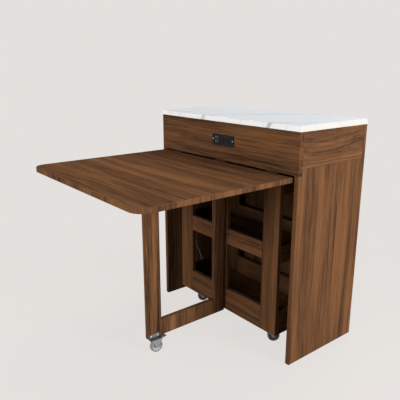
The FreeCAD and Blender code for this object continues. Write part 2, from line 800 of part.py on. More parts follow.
def caster_wheel(name, x, y, turn):
    """A rubber-tyred wheel turned about its axle, dished on both faces round the hub."""
    wheel = new_body(name, x, y, "wheel_radius", turn=turn)
    section = new_sketch(wheel, "YZ_Plane")
    half = [
        ("wheel_width / 2", "axle_radius + running_play"),
        ("wheel_width / 2", "hub_radius"),
        ("wheel_width / 2 - rim_recess", "hub_radius"),
        ("wheel_width / 2 - rim_recess", "rim_radius"),
        ("wheel_width / 2", "rim_radius"),
        ("wheel_width / 2", "wheel_radius - tread_corner"),
        ("wheel_width / 2 - tread_corner", "wheel_radius"),
    ]
    mirrored = [(f"0 - ({across})", out) for across, out in reversed(half)]
    draw_polygon(section, half + mirrored)
    turned = wheel.newObject("PartDesign::Revolution", name + "_turning")
    turned.Profile = section
    turned.ReferenceAxis = (origin_item(wheel, "Y_Axis"), [""])
    turned.Angle = 360
    doc.recompute()
    return wheel


def caster_axle(name, x, y, turn):
    """The riveted axle: a shank across the fork with a head on each cheek."""
    axle = new_body(name, x, y, "wheel_radius", turn=turn)
    shank = new_sketch(axle, "XZ_Plane")
    draw_circle(shank, "0", "0", "axle_radius")
    pad(axle, shank, "fork_outer", symmetric=True)
    for offset, reverse in (("fork_outer / 2", False), ("0 - fork_outer / 2", True)):
        head = new_sketch(axle, "XZ_Plane", offset)
        draw_circle(head, "0", "0", "axle_head_radius")
        pad(axle, head, "axle_head", reverse=reverse)
    return axle


def wheel_spot(x, y, trail, turn):
    """Where a wheel's axle stands for a fork at x, y that trails at an angle."""
    return f"{x} + {trail} * cos({turn} * 1deg)", f"{y} + {trail} * sin({turn} * 1deg)"


def caster_plate(name, x, y):
    """A square plate with rounded corners, and the kingpin riveted in its middle."""
    plate = new_body(name, x, y, "0")
    outline = new_sketch(plate, "XY_Plane", "plate_bottom")
    half = ("0 - caster_plate / 2", "caster_plate / 2")
    draw_rectangle(outline, half, half)
    pad(plate, outline, "caster_plate_thick")
    round_edges(plate, edges_where(plate.Shape, lambda edge: runs_along(edge, 2)), "plate_corner")
    add_kingpin(plate)
    return plate


def add_kingpin(plate):
    """The kingpin hangs from a plate through the fork and ends in a riveted head."""
    pin_foot = "hood_under - kingpin_lift"
    kingpin = new_sketch(plate, "XY_Plane", pin_foot)
    draw_circle(kingpin, "0", "0", "kingpin_radius")
    pad(plate, kingpin, f"plate_bottom - ({pin_foot})")
    head = new_sketch(plate, "XY_Plane", pin_foot)
    draw_circle(head, "0", "0", "kingpin_head_radius")
    pad(plate, head, "kingpin_head", reverse=True)


plates = []
plate_screws = []
for end, caster_y in (("front", "rack_caster_y1"), ("back", "rack_caster_y2")):
    for side, caster_x in (("left", "0 - rack_caster_x"), ("right", "rack_caster_x")):
        spot = f"{end}_{side}"
        turn = "rack_caster_turn"
        axle_x, axle_y = wheel_spot(caster_x, caster_y, "rack_trail", turn)
        fork = caster_fork(f"yoke_{spot}", caster_x, caster_y, turn, "rack_trail",
                           "rack_hood_front", "rack_hood_rear")
        axle = caster_axle(f"axle_{spot}", axle_x, axle_y, turn)
        sub_parts.append(together(f"rack_fork_{spot}", [fork, axle]))
        sub_parts.append(caster_wheel(f"rack_wheel_{spot}", axle_x, axle_y, turn))
        plates.append(caster_plate(f"plate_{spot}", caster_x, caster_y))
        for across in "-+":
            for along in "-+":
                screw_x = f"{caster_x} {across} plate_screw_spread"
                screw_y = f"{caster_y} {along} plate_screw_spread"
                plate_screws.append(rod("screw_head_radius", "screw_head", screw_x, screw_y,
                                        "plate_bottom - screw_head"))
sub_parts.append(together("rack_caster_plates", plates))
sub_parts.append(together("rack_caster_screws", plate_screws))

# The caster of the gate trails towards the rack and has a brake pedal.
gate_turn = "90"
gate_x = "gate_caster_x"
gate_y = "gate_caster_y"
gate_axle_x, gate_axle_y = wheel_spot(gate_x, gate_y, "gate_trail", gate_turn)
sub_parts.append(caster_fork("gate_caster_fork", gate_x, gate_y, gate_turn, "gate_trail",
                             "gate_hood_front", "gate_hood_rear", braked=True))
sub_parts.append(caster_wheel("gate_caster_wheel", gate_axle_x, gate_axle_y, gate_turn))
sub_parts.append(caster_axle("gate_caster_axle", gate_axle_x, gate_axle_y, gate_turn))

# Its bent steel bracket grips the foot of the gate: a plate below and a lip up one face.
bracket = new_body("gate_caster_bracket", gate_x, gate_y, "0")
angle = new_sketch(bracket, "XZ_Plane")
gate_left = "0 - gate_thick / 2 - gate_caster_side"
gate_right = "gate_thick / 2 - gate_caster_side"
lip_right = f"{gate_right} + bracket_lip_thick"
lip_top = "underside + bracket_lip"
draw_polygon(angle, [
    (gate_left, "plate_bottom"),
    ("caster_plate / 2", "plate_bottom"),
    ("caster_plate / 2", "underside"),
    (lip_right, "underside"),
    (lip_right, lip_top),
    (gate_right, lip_top),
    (gate_right, "underside"),
    (gate_left, "underside"),
])
pad(bracket, angle, "caster_plate", symmetric=True)
add_kingpin(bracket)
sub_parts.append(bracket)

lip_screws = []
lip_face_x = "gate_offset + gate_thick / 2 + bracket_lip_thick"
for sign in "-+":
    screw_y = f"gate_caster_y {sign} lip_screw_spread"
    lip_screws.append(rod("screw_head_radius", "screw_head", lip_face_x, screw_y,
                          "underside + bracket_lip / 2", ALONG_X))
sub_parts.append(together("gate_bracket_screws", lip_screws))

pedal = new_body("gate_brake_pedal", gate_x, gate_y, "0", turn=gate_turn)
pedal_side = new_sketch(pedal, "XZ_Plane")
draw_polygon(pedal_side, [
    ("brake_reach - 3.5", "brake_height - 2.5"),
    ("brake_reach + 3", "brake_height - 3.5"),
    ("brake_reach + 7", "brake_height + 2"),
    ("brake_reach + 25", "brake_height + 4.5"),
    ("brake_reach + 25", "brake_height + 7"),
    ("brake_reach + 3", "brake_height + 8"),
    ("brake_reach - 3.5", "brake_height + 5"),
])
pad(pedal, pedal_side, "wheel_width + wheel_side_play", symmetric=True)
pedal_hole = new_sketch(pedal, "XZ_Plane")
draw_circle(pedal_hole, "brake_reach", "brake_height", "brake_pin_radius + running_play")
pocket(pedal, pedal_hole)
sub_parts.append(pedal)

pedal_pin = new_body("gate_brake_pin", gate_x, gate_y, "0", turn=gate_turn)
pin_section = new_sketch(pedal_pin, "XZ_Plane")
draw_circle(pin_section, "brake_reach", "brake_height", "brake_pin_radius")
pad(pedal_pin, pin_section, "fork_outer + 1", symmetric=True)
sub_parts.append(pedal_pin)

# ---------------------------------------------------------------- cabin hook

# The hook hangs by its eye in a screw eye on the rack and leans towards the side panel.  It
# is as long as the space beside the rack allows.
lean = FreeCAD.Vector(-0.761, 0.212, 0.613)
lean.normalize()
across = FreeCAD.Vector(0.38, 0.92, 0)
across = (across - lean * across.dot(lean)).normalize()
bend_plane_x = lean.cross(across)
hook_rotation = FreeCAD.Rotation(across, bend_plane_x, lean, "ZXY")

hook_x = "rack_left + board / 2"
hook_y = "front_y + hook_setback"
eye_z = "low_opening + screw_eye_radius + screw_eye_shank - 0.5"
start_x, start_y, start_z = (
    f"{centre} + ({part:.4f}) * 2 * hook_eye_radius"
    for centre, part in zip((hook_x, hook_y, eye_z), lean)
)
hook_length = f"({start_x} - inner_left - hook_clear) / {-lean.x:.4f}"
hook = new_body("catch_hook", start_x, start_y, start_z, rotation=hook_rotation)
route = new_sketch(hook, "XZ_Plane")
shank_top = FreeCAD.Vector(0, 50, 0)
shank = route.addGeometry(Part.LineSegment(FreeCAD.Vector(0, 0, 0), shank_top), False)
bend_circle = Part.Circle(FreeCAD.Vector(6, 50, 0), FreeCAD.Vector(0, 0, 1), 6)
bend = route.addGeometry(Part.ArcOfCircle(bend_circle, 0.4, 3.14159), False)
route.addConstraint(Sketcher.Constraint("Coincident", shank, 1, -1, 1))
route.addConstraint(Sketcher.Constraint("Vertical", shank))
route.addConstraint(Sketcher.Constraint("Tangent", shank, 2, bend, 2))
length_index = route.addConstraint(Sketcher.Constraint("DistanceY", shank, 1, shank, 2, 50.0))
route.setExpression(f"Constraints[{length_index}]", bound(hook_length))
bend_index = route.addConstraint(Sketcher.Constraint("Radius", bend, 6.0))
route.setExpression(f"Constraints[{bend_index}]", bound("hook_bend"))
wire = new_sketch(hook, "XY_Plane")
draw_circle(wire, "0", "0", "hook_radius")
swept = hook.newObject("PartDesign::AdditivePipe", "catch_hook_pipe")
swept.Profile = wire
swept.Spine = route
doc.recompute()
hook_eye = hook.newObject("PartDesign::AdditiveTorus", "catch_hook_eye")
hook_eye.AttachmentSupport = [(origin_item(hook, "XZ_Plane"), "")]
hook_eye.MapMode = "FlatFace"
hook_eye.setExpression("AttachmentOffset.Base.y", bound("0 - hook_eye_radius"))
bind(hook_eye, Radius1="hook_eye_radius", Radius2="hook_radius")
doc.recompute()
sub_parts.append(hook)

ring = doc.addObject("Part::Torus", "ring")
bind(ring, Radius1="screw_eye_radius", Radius2="screw_eye_wire")
place(ring, hook_x, hook_y, eye_z, rotation=FreeCAD.Rotation(FreeCAD.Vector(0, 0, 1), across))
eye_shank = rod("screw_eye_wire", "screw_eye_shank", hook_x, hook_y, "low_opening")
sub_parts.append(group("catch_screw_eye", [ring, eye_shank]))

catch_y = "front_y + catch_setback"
catch_plate = box(
    ("inner_left", "inner_left + catch_thick"),
    (catch_y, f"{catch_y} + catch_width"),
    ("catch_foot", "catch_foot + catch_height"),
)
catch_middle_y = f"{catch_y} + catch_width / 2"
catch_middle_z = "catch_foot + catch_height / 2"
catch_stud = rod("catch_stud", "catch_stud", "inner_left", catch_middle_y, catch_middle_z, ALONG_X)
sub_parts.append(group("panel_catch", [catch_plate, catch_stud]))

# ---------------------------------------------------------------- check and write

doc.recompute()
for item in doc.Objects:
    if {"Invalid", "Error"} & set(item.State):
        raise RuntimeError(f"{item.Label}: failed to compute")

for item in sub_parts:
    shape = item.Shape
    if shape.isNull() or not shape.isValid() or not shape.Solids:
        raise RuntimeError(f"{item.Label}: no valid solid")
    shape.exportStep(f"parts/{item.Label}.step")
print(len(sub_parts), "sub-parts written")
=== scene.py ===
# %% [markdown]
# # A kitchen table with a drop leaf, a swing gate and a rolling storage rack
#
# The boards of the table come ready made from CAD, each in its place. Here they get their
# finish: walnut veneer, polished marble, zinc and black plastic. The small plain solids, such
# as screws, casters and the mouths of the power outlet, are replaced by modelled pieces or
# completed by them. Everything is in metres, with +X to the right, +Y to the back and +Z up.

import json
import math

import bmesh
import bpy
from mathutils import Matrix, Vector


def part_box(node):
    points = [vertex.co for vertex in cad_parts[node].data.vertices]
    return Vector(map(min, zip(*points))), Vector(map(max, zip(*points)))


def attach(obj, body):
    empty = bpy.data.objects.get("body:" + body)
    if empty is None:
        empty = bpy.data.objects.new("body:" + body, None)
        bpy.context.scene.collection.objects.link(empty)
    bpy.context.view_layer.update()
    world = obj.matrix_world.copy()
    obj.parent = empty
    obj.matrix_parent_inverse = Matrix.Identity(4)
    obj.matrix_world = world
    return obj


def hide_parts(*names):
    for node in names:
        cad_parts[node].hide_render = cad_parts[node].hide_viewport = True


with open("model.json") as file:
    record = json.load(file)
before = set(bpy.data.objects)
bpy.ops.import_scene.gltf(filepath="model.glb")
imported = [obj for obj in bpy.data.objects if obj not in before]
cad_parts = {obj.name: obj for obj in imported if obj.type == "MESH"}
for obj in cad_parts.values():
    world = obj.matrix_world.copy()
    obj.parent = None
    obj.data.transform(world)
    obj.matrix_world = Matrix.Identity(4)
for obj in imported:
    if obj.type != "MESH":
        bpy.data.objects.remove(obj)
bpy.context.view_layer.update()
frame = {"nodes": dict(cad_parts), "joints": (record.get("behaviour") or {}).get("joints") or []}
nodes = frame["nodes"]

# %% [markdown]
# ## The camera
#
# The table is seen past its front right corner, from a little above the worktop. A camera
# could be given as a matrix, but a place and three angles are easier to read and to change,
# so its axes are worked out from a turn about the vertical, a downward tilt and a small roll.

# %% Camera
CAMERA_PLACE = Vector((1.44331, -1.13697, 1.08567))
CAMERA_TURN = 0.897330
CAMERA_TILT = 0.268678
CAMERA_ROLL = -0.000875
LENS = 43.825

ahead = Vector((
    -math.sin(CAMERA_TURN) * math.cos(CAMERA_TILT),
    math.cos(CAMERA_TURN) * math.cos(CAMERA_TILT),
    -math.sin(CAMERA_TILT),
))
level_right = Vector((math.cos(CAMERA_TURN), math.sin(CAMERA_TURN), 0))
right = (Matrix.Rotation(-CAMERA_ROLL, 3, ahead) @ level_right).normalized()
up = right.cross(ahead)

camera = bpy.data.objects.new("camera", bpy.data.cameras.new("camera"))
bpy.context.scene.collection.objects.link(camera)
camera.data.lens = LENS
camera.data.sensor_width = 36
camera.data.clip_start = 0.05
axes = Matrix((right, up, -ahead)).transposed()
camera.matrix_world = Matrix.Translation(CAMERA_PLACE) @ axes.to_4x4()
bpy.context.scene.camera = camera
print("camera looks along", [round(v, 3) for v in ahead])

# %% [markdown]
# ## Maths on shader sockets
#
# A veneer is a stack of patterns that are added, multiplied and cut off. As a list of node
# links that is hard to follow, so a socket is wrapped in a small class whose +, -, * and /
# add Math nodes. Then a pattern reads like the formula that it is.


# %% Arithmetic on sockets
class Signal:
    """A value on its way through a node tree; arithmetic on it adds Math nodes."""

    def __init__(self, finish, socket):
        self.finish = finish
        self.socket = socket

    def maths(self, operation, first, second=0.0):
        return self.finish.node("ShaderNodeMath", {"operation": operation}, {0: first, 1: second})

    def __add__(self, other):
        return self.maths("ADD", self, other)

    def __radd__(self, other):
        return self.maths("ADD", other, self)

    def __sub__(self, other):
        return self.maths("SUBTRACT", self, other)

    def __rsub__(self, other):
        return self.maths("SUBTRACT", other, self)

    def __mul__(self, other):
        return self.maths("MULTIPLY", self, other)

    def __rmul__(self, other):
        return self.maths("MULTIPLY", other, self)

    def __truediv__(self, other):
        return self.maths("DIVIDE", self, other)

    def __abs__(self):
        return self.maths("ABSOLUTE", self)


# %% [markdown]
# ## Building a finish
#
# Every other node is made by one method, which takes the kind of node, its settings and what
# goes into its sockets. The settings come first, because some of them change the sockets. The
# remaining methods name the few steps that the finishes of this table are built from.


# %% A finish under construction
class Finish:
    """A node tree under construction, round the shader that it starts with."""

    def __init__(self, owner, shader="Principled BSDF", sockets=None):
        owner.use_nodes = True
        self.owner = owner
        self.tree = owner.node_tree
        self.shader = self.tree.nodes[shader]
        for socket, value in (sockets or {}).items():
            self.shader.inputs[socket].default_value = value

    def node(self, kind, settings, inputs, output=0):
        """Adds a node: its settings first, then values or links for its sockets."""
        made = self.tree.nodes.new(kind)
        for name, value in settings.items():
            if name == "stops":
                self.fill_ramp(made.color_ramp, value)
            else:
                setattr(made, name, value)
        for key, value in inputs.items():
            if isinstance(value, Signal):
                self.tree.links.new(value.socket, made.inputs[key])
            else:
                made.inputs[key].default_value = value
        return Signal(self, made.outputs[output])

    def fill_ramp(self, ramp, stops):
        while len(ramp.elements) < len(stops):
            ramp.elements.new(1.0)
        for element, (position, colour) in zip(ramp.elements, stops):
            element.position = position
            element.color = (*colour, 1.0)

    def surface_point(self):
        """Where a point lies on the piece, in metres."""
        return self.node("ShaderNodeTexCoord", {}, {}, "Object")

    def surface_normal(self):
        """Which way the surface of the piece faces."""
        return self.node("ShaderNodeTexCoord", {}, {}, "Normal")

    def split(self, vector):
        """The three parts of a vector."""
        parts = self.node("ShaderNodeSeparateXYZ", {}, {0: vector})
        return [Signal(self, socket) for socket in parts.socket.node.outputs]

    def join(self, x, y, z):
        """A vector from its three parts."""
        return self.node("ShaderNodeCombineXYZ", {}, {0: x, 1: y, 2: z})

    def noise(self, vector, scale, detail=2.0, roughness=0.5, distortion=0.0):
        """Noise from 0 to 1, about 0.5 on average."""
        sockets = {"Vector": vector, "Scale": scale, "Detail": detail,
                   "Roughness": roughness, "Distortion": distortion}
        return self.node("ShaderNodeTexNoise", {}, sockets, "Fac")

    def rise(self, value, low, high):
        """0 below low, 1 above high and a smooth rise between."""
        return self.node("ShaderNodeMapRange", {"interpolation_type": "SMOOTHSTEP"},
                         {"Value": value, "From Min": low, "From Max": high})

    def ramp(self, value, stops):
        """A colour between those at the nearest stops."""
        return self.node("ShaderNodeValToRGB", {"stops": stops}, {"Fac": value})

    def mix(self, first, second, amount, blend="MIX"):
        """The first colour, with an amount of the second over it."""
        settings = {"data_type": "RGBA", "blend_type": blend, "clamp_factor": True}
        return self.node("ShaderNodeMix", settings, {0: amount, 6: first, 7: second}, 2)

    def feed(self, socket, value):
        """Links a value to a socket of the shader."""
        self.tree.links.new(value.socket, self.shader.inputs[socket])

    def bump(self, height, depth):
        """Raises the surface by up to a depth in metres."""
        sockets = {"Height": height, "Strength": 1.0, "Distance": depth}
        self.feed("Normal", self.node("ShaderNodeBump", {}, sockets))

    def own_shader(self):
        """What the shader that the tree starts with puts out."""
        return Signal(self, self.shader.outputs[0])

    def show(self, shader):
        """Makes a shader what the tree puts out."""
        outlet = next(node for node in self.tree.nodes if "Surface" in node.inputs)
        self.tree.links.new(shader.socket, outlet.inputs["Surface"])


# %% [markdown]
# ## Walnut veneer
#
# The boards are faced with dark walnut. Its ground is a warm brown with broad lighter and
# darker stripes, from the years in which the tree grew, narrow dark brown streaks, bands of
# amber, and fine pores drawn out along the grain. All are noise that is stretched along the
# grain. A slow drift bends the stripes, so that some close to an arch, as they do where a
# log is cut flat.
#
# An image of real veneer would show its seams where it repeats. Noise on the coordinates of
# the piece has none. Each group of boards has a seed of its own, and so its own figure.
#
# The wood is meant to be oiled, not lacquered, so it is matt. On a glossy board a lamp that
# grazes it lays a pale veil. A low index of refraction keeps that veil off.

# %% The grain's directions
# For a grain along each axis: which two coordinates run across it, and its own.
AXES = {"x": (1, 2, 0), "y": (0, 2, 1), "z": (0, 1, 2)}
LIPPING_SPREAD = 0.5


def along_grain(point, axis):
    """A point's coordinates: two across the grain, then the one along it."""
    return [point[index] for index in AXES[axis]]


def turn_grain(finish, grain, turns):
    """Coordinates whose grain turns, and spreads, on the faces that look along some axes."""
    point = finish.split(finish.surface_point())
    facing = finish.split(finish.surface_normal())
    place = along_grain(point, grain)
    for face_axis, grain_axis in turns.items():
        there = finish.rise(abs(facing["xyz".index(face_axis)]), 0.6, 0.8)
        turned = [value * LIPPING_SPREAD for value in along_grain(point, grain_axis)]
        place = [plain + (other - plain) * there for plain, other in zip(place, turned)]
    return place


# %% The veneer
UMBER = (0.036, 0.0190, 0.0110)
BROWN = (0.092, 0.0435, 0.0222)
CHESTNUT = (0.150, 0.0685, 0.0310)
AMBER = (0.240, 0.1060, 0.0430)
OILED = {"Specular IOR Level": 0.1, "IOR": 1.04}
STRAIGHT = 0.03
ARCHED = 0.15
FRONT_SHADE_PAINT = (0.52, 0.52, 0.52, 1)
SEED_STEPS = (7.31, 2.7, 12.4)


def stained(colour, tone):
    """A colour made darker or lighter by a tone."""
    return tuple(part * tone for part in colour)


def walnut(name, seed, grain, turns, arch=STRAIGHT, contrast=1.1, tone=1.0, painted_shade_front=False):
    """Veneer with its grain along one axis, turned on the faces named in turns.

    The arch is how far the stripes drift sideways, in metres, contrast how much they differ,
    and tone how light the whole board is. With painted_shade_front the face that looks
    forwards is darkened, as painted shade.
    """
    umber, brown, chestnut, amber = (stained(colour, tone) for colour in
                                     (UMBER, BROWN, CHESTNUT, AMBER))
    finish = Finish(bpy.data.materials.new(name), sockets=OILED)
    across, depth, run = (part + seed * step for part, step in
                          zip(turn_grain(finish, grain, turns), SEED_STEPS))

    # Each pattern is told how fine it is: twice across the grain, then along it.
    drift = finish.noise(finish.join(across * 2.4, depth * 2.4, run * 1.5), 1.0, 2.0) - 0.5
    waver = finish.noise(finish.join(across * 9, depth * 9, run * 4.0), 1.0, 2.0) - 0.5
    bend = drift * arch + waver * (0.004 + arch * 0.05)
    across, depth = across + bend, depth + bend

    stripes = finish.noise(finish.join(across * 22, depth * 22, run * 0.7), 1.0, 4.0, 0.68)
    streaks = finish.noise(finish.join(across * 100, depth * 100, run * 1.8 + 31), 1.0, 3.0, 0.65)
    glow = finish.noise(finish.join(across * 17, depth * 17, run * 1.0 + 57), 1.0, 3.0, 0.55)
    fibres = finish.noise(finish.join(across * 420, depth * 420, run * 9), 1.0, 2.0, 0.6)
    pores = finish.noise(finish.join(across * 1300, depth * 1300, run * 60), 1.0, 1.0, 0.5)

    figure = (stripes - 0.5) * 0.56 + (streaks - 0.5) * 0.50 + (fibres - 0.5) * 0.36
    ground = 0.5 + figure * contrast
    colour = finish.ramp(ground, [(0.30, umber), (0.43, brown), (0.55, chestnut), (0.70, amber)])
    streak = finish.rise(streaks, 0.54, 0.70) * (0.45 * contrast)
    colour = finish.mix(colour, (*umber, 1), streak)
    warm = finish.rise(glow, 0.52, 0.68) * (0.36 * contrast)
    colour = finish.mix(colour, (*amber, 1), warm)
    # Painted shade: the face that looks forwards is darkened.
    if painted_shade_front:
        _, facing_back, _ = finish.split(finish.surface_normal())
        front_in_shade = finish.mix(colour, FRONT_SHADE_PAINT, 1.0, "MULTIPLY")
        colour = finish.mix(colour, front_in_shade, finish.rise(facing_back * -1, 0.4, 0.8))
    pore = finish.rise(pores, 0.62, 0.72) * 0.40
    finish.feed("Base Color", finish.mix(colour, (*umber, 1), pore))
    finish.feed("Roughness", 0.52 + (1 - stripes) * 0.12 + pore * 0.2)
    finish.bump(fibres * 0.5 - pore, 0.00006)
    return finish.owner


def dress(piece, material):
    """Gives every slot of a piece one material."""
    if not piece.data.materials:
        piece.data.materials.append(material)
    for index in range(len(piece.data.materials)):
        piece.data.materials[index] = material


# %% [markdown]
# ### Which way the grain runs
#
# A cabinetmaker runs the grain along the longer side of a board and turns it on the lipping
# of its edges, because bare board would show its layers there. The leaf's lipping is cut
# across the grain, so it shows short upright bars of lighter and darker wood.
#
# The rack's sides, shelves and back frame are toned darker as painted shade, for the shade
# inside the rack, and the back panel has painted shade on the side that faces the rack.

# %% Veneer on the boards
LIPPED_X = {"x": "z"}
LIPPED_Y = {"y": "z"}
# Painted shade: a darker tone for the boards inside the rack, where the shade falls.
INSIDE_SHADE_TONE = 0.72
VENEERS = [
    dict(seed=1, grain="x", turns={}, contrast=1.5, tone=0.88, boards=["front_apron"]),
    dict(seed=2, grain="y", turns=LIPPED_Y, arch=ARCHED, tone=1.07,
         boards=["side_apron_left", "side_apron_right"]),
    dict(seed=3, grain="z", turns={"z": "y"}, contrast=1.05, boards=["side_panel_right"]),
    dict(seed=4, grain="z", turns={"z": "y"}, contrast=1.2, boards=["side_panel_left"]),
    dict(seed=5, grain="z", turns={}, arch=ARCHED, painted_shade_front=True, boards=["back_panel"]),
    dict(seed=6, grain="x", turns={"x": "z", "y": "z"}, contrast=1.2, boards=["leaf_board"]),
    dict(seed=7, grain="x", turns={}, arch=ARCHED,
         boards=["apron_floor", "slab_batten_front", "slab_batten_rear"]),
    dict(seed=8, grain="y", turns={}, arch=ARCHED, boards=["slab_batten_middle"]),
    dict(seed=29, grain="z", turns={"z": "y"}, contrast=1.7, tone=1.08, boards=["gate_board"]),
    dict(seed=10, grain="z", turns={}, boards=["rack_front_stile_left", "rack_front_centres"]),
    dict(seed=31, grain="z", turns={}, boards=["rack_front_stile_right"]),
    dict(seed=11, grain="z", turns={}, tone=INSIDE_SHADE_TONE,
         boards=["rack_back_stiles", "rack_back_centres"]),
    dict(seed=12, grain="x", turns=LIPPED_X, contrast=1.3, boards=["rack_front_rail_bottom"]),
    dict(seed=33, grain="x", turns=LIPPED_X, contrast=1.3, tone=1.25,
         boards=["rack_front_rail_middle"]),
    dict(seed=14, grain="x", turns=LIPPED_X, boards=["rack_front_rail_top"]),
    dict(seed=17, grain="x", turns=LIPPED_X, tone=INSIDE_SHADE_TONE, boards=["rack_back_rails"]),
    dict(seed=15, grain="y", turns=LIPPED_Y, arch=ARCHED, tone=INSIDE_SHADE_TONE,
         boards=["rack_sides_bottom", "rack_sides_middle", "rack_sides_top"]),
    dict(seed=16, grain="x", turns={}, arch=ARCHED, tone=INSIDE_SHADE_TONE,
         boards=["rack_shelf_bottom", "rack_shelf_middle", "rack_shelf_top"]),
]
for veneer in VENEERS:
    boards = veneer.pop("boards")
    face = walnut(f"walnut_{boards[0]}", **veneer)
    for name in boards:
        dress(nodes[name], face)
print("veneers:", len(VENEERS))

# %% [markdown]
# ## Marble
#
# The worktop is white marble with a satin polish. Its clouds are a soft grey noise. A vein is
# a crack that filled with darker mineral, so it is thin, long and a little crooked. Noise has
# no lines, but the places where a bent noise crosses its middle value form lines: there the
# distance from the middle is near zero, and a smooth rise turns that distance into a vein.
# The veins cross the slab at a slant, and where in its block the slab lies decides which of
# them it shows. The sawn edges are only honed. Those at the front and the back are whiter and
# warmer than the polished top, and those at the two ends are creamy and carry a painted
# shade, darker against the strong lamp on the right.

# %% The marble slab
BLOCK_PLACE = (4.1, 0.4)
VEIN_RUN = (0.62, 0.78)
VEIN_DIP = 0.6
END_SHADE_CREAM = (0.635, 0.610, 0.565, 1)


def marble(name):
    """Marble whose veins run along VEIN_RUN and lean by VEIN_DIP."""
    finish = Finish(bpy.data.materials.new(name), sockets={"Specular IOR Level": 0.03})
    x, y, z = finish.split(finish.surface_point())
    x, y = x + BLOCK_PLACE[0], y + BLOCK_PLACE[1]
    facing_side, _, facing_up = finish.split(finish.surface_normal())
    along = x * VEIN_RUN[0] + y * VEIN_RUN[1]
    across = x * VEIN_RUN[1] - y * VEIN_RUN[0] - z * VEIN_DIP
    bend = (finish.noise(finish.join(along * 3, across * 6, z * 3), 1.0, 5.0, 0.6) - 0.5) * 0.4
    cloud = finish.noise(finish.join(along * 1.8, across * 6, z), 1.0, 4.0, 0.55)
    main = finish.noise(finish.join(along * 1.1, across * 5.5 + bend, z), 1.0, 2.0, 0.4)
    fine = finish.noise(finish.join(along * 2.2 + 9, across * 12 + bend, z), 1.0, 3.0, 0.5)
    vein = (1 - finish.rise(abs(main - 0.5), 0.0, 0.035)) * finish.rise(cloud, 0.35, 0.65)
    thread = 1 - finish.rise(abs(fine - 0.5), 0.0, 0.018)
    lines = vein * 0.50 + thread * 0.26
    polished = finish.ramp(lines + finish.rise(cloud, 0.5, 0.8) * 0.17, [
        (0.0, (0.645, 0.680, 0.730)),
        (0.5, (0.500, 0.540, 0.605)),
        (1.0, (0.290, 0.325, 0.380)),
    ])
    honed = finish.ramp(lines, [
        (0.0, (0.960, 0.960, 0.955)),
        (0.2, (0.890, 0.895, 0.900)),
        (0.6, (0.500, 0.510, 0.540)),
    ])
    on_top = finish.rise(abs(facing_up), 0.4, 0.8)
    # Painted shade: the faces at the two ends are darkened and made creamy.
    on_shaded_end = finish.rise(abs(facing_side), 0.6, 0.9)
    edges = finish.mix(honed, finish.mix(honed, END_SHADE_CREAM, 1.0, "MULTIPLY"), on_shaded_end)
    finish.feed("Base Color", finish.mix(edges, polished, on_top))
    finish.feed("Roughness", 0.42 - on_top * 0.10 + vein * 0.05)
    return finish.owner


dress(nodes["worktop_slab"], marble("marble"))

# %% [markdown]
# ## Metals, plastic and rubber
#
# Zinc plate is cloudy and finely scratched, so its colour and its gloss both vary. Moulded
# plastic and rubber are nearly even, with the fine grain of the mould. The gate's bracket has
# a painted shade: it is nearly black up to its fold, for the shade in the gap beneath it, and
# grey above it.

# %% Metal finishes
FOLD_SHADE_PAINT = (0.045, 0.047, 0.050, 1)
FOLD_BLEND = 0.0015
BRACKET_FOLD = 0.0670


def plated(name, colour, roughness, fold=None):
    """Plated steel, cloudy and finely scratched, with painted shade below the height of a fold."""
    finish = Finish(bpy.data.materials.new(name), sockets={"Metallic": 1.0})
    point = finish.surface_point()
    cloud = finish.noise(point, 180.0, 3.0)
    scratch = finish.noise(point, 1500.0, 2.0, 0.7)
    dull = tuple(0.80 * part for part in colour)
    plating = finish.ramp(cloud, [(0.35, dull), (0.65, colour)])
    # Painted shade: below the fold the plating turns nearly black.
    if fold is not None:
        height = finish.split(point)[2]
        plating = finish.mix(FOLD_SHADE_PAINT, plating, finish.rise(height, fold, fold + FOLD_BLEND))
    finish.feed("Base Color", plating)
    finish.feed("Roughness", roughness + (cloud - 0.5) * 0.16 + (scratch - 0.5) * 0.08)
    finish.bump(scratch, 0.00001)
    return finish.owner


bright_zinc = plated("bright_zinc", (0.78, 0.78, 0.79), 0.24)
grey_zinc = plated("grey_zinc", (0.38, 0.39, 0.40), 0.38)
bracket_zinc_with_shade = plated("bracket_zinc_with_shade", (0.34, 0.35, 0.36), 0.42, BRACKET_FOLD)
# Dull plating; on the rack's forks and caster plates it is darker still, as painted shade for the
# shade under the rack.
dull_zinc_and_shade = plated("dull_zinc_and_shade", (0.20, 0.205, 0.21), 0.45)
dark_steel = plated("dark_steel", (0.030, 0.026, 0.023), 0.50)
# Nearly black steel for the ball race: painted shade for the gap under the caster's plate.
race_shade_steel = plated("race_shade_steel", (0.055, 0.055, 0.058), 0.45)


# %% Plastic and rubber
def moulded(name, dark, light, roughness, gloss=0.5):
    """Moulded plastic or rubber: nearly even, with the fine grain of its mould."""
    finish = Finish(bpy.data.materials.new(name), sockets={"Specular IOR Level": gloss})
    point = finish.surface_point()
    grain = finish.noise(point, 900.0, 2.0, 0.6)
    cloud = finish.noise(point, 60.0, 2.0)
    finish.feed("Base Color", finish.ramp(cloud, [(0.35, dark), (0.65, light)]))
    finish.feed("Roughness", roughness + (grain - 0.5) * 0.1)
    finish.bump(grain, 0.00002)
    return finish.owner


black_plastic = moulded("black_plastic", (0.009, 0.009, 0.010), (0.013, 0.013, 0.014), 0.5, 0.1)
frame_plastic = moulded("frame_plastic", (0.024, 0.024, 0.026), (0.032, 0.032, 0.034), 0.4, 0.3)
grey_plastic = moulded("grey_plastic", (0.060, 0.060, 0.064), (0.080, 0.080, 0.085), 0.45, 0.2)
pedal_plastic = moulded("pedal_plastic", (0.110, 0.120, 0.135), (0.150, 0.160, 0.175), 0.42)
light_tyre = moulded("light_tyre", (0.19, 0.195, 0.20), (0.25, 0.255, 0.26), 0.6)
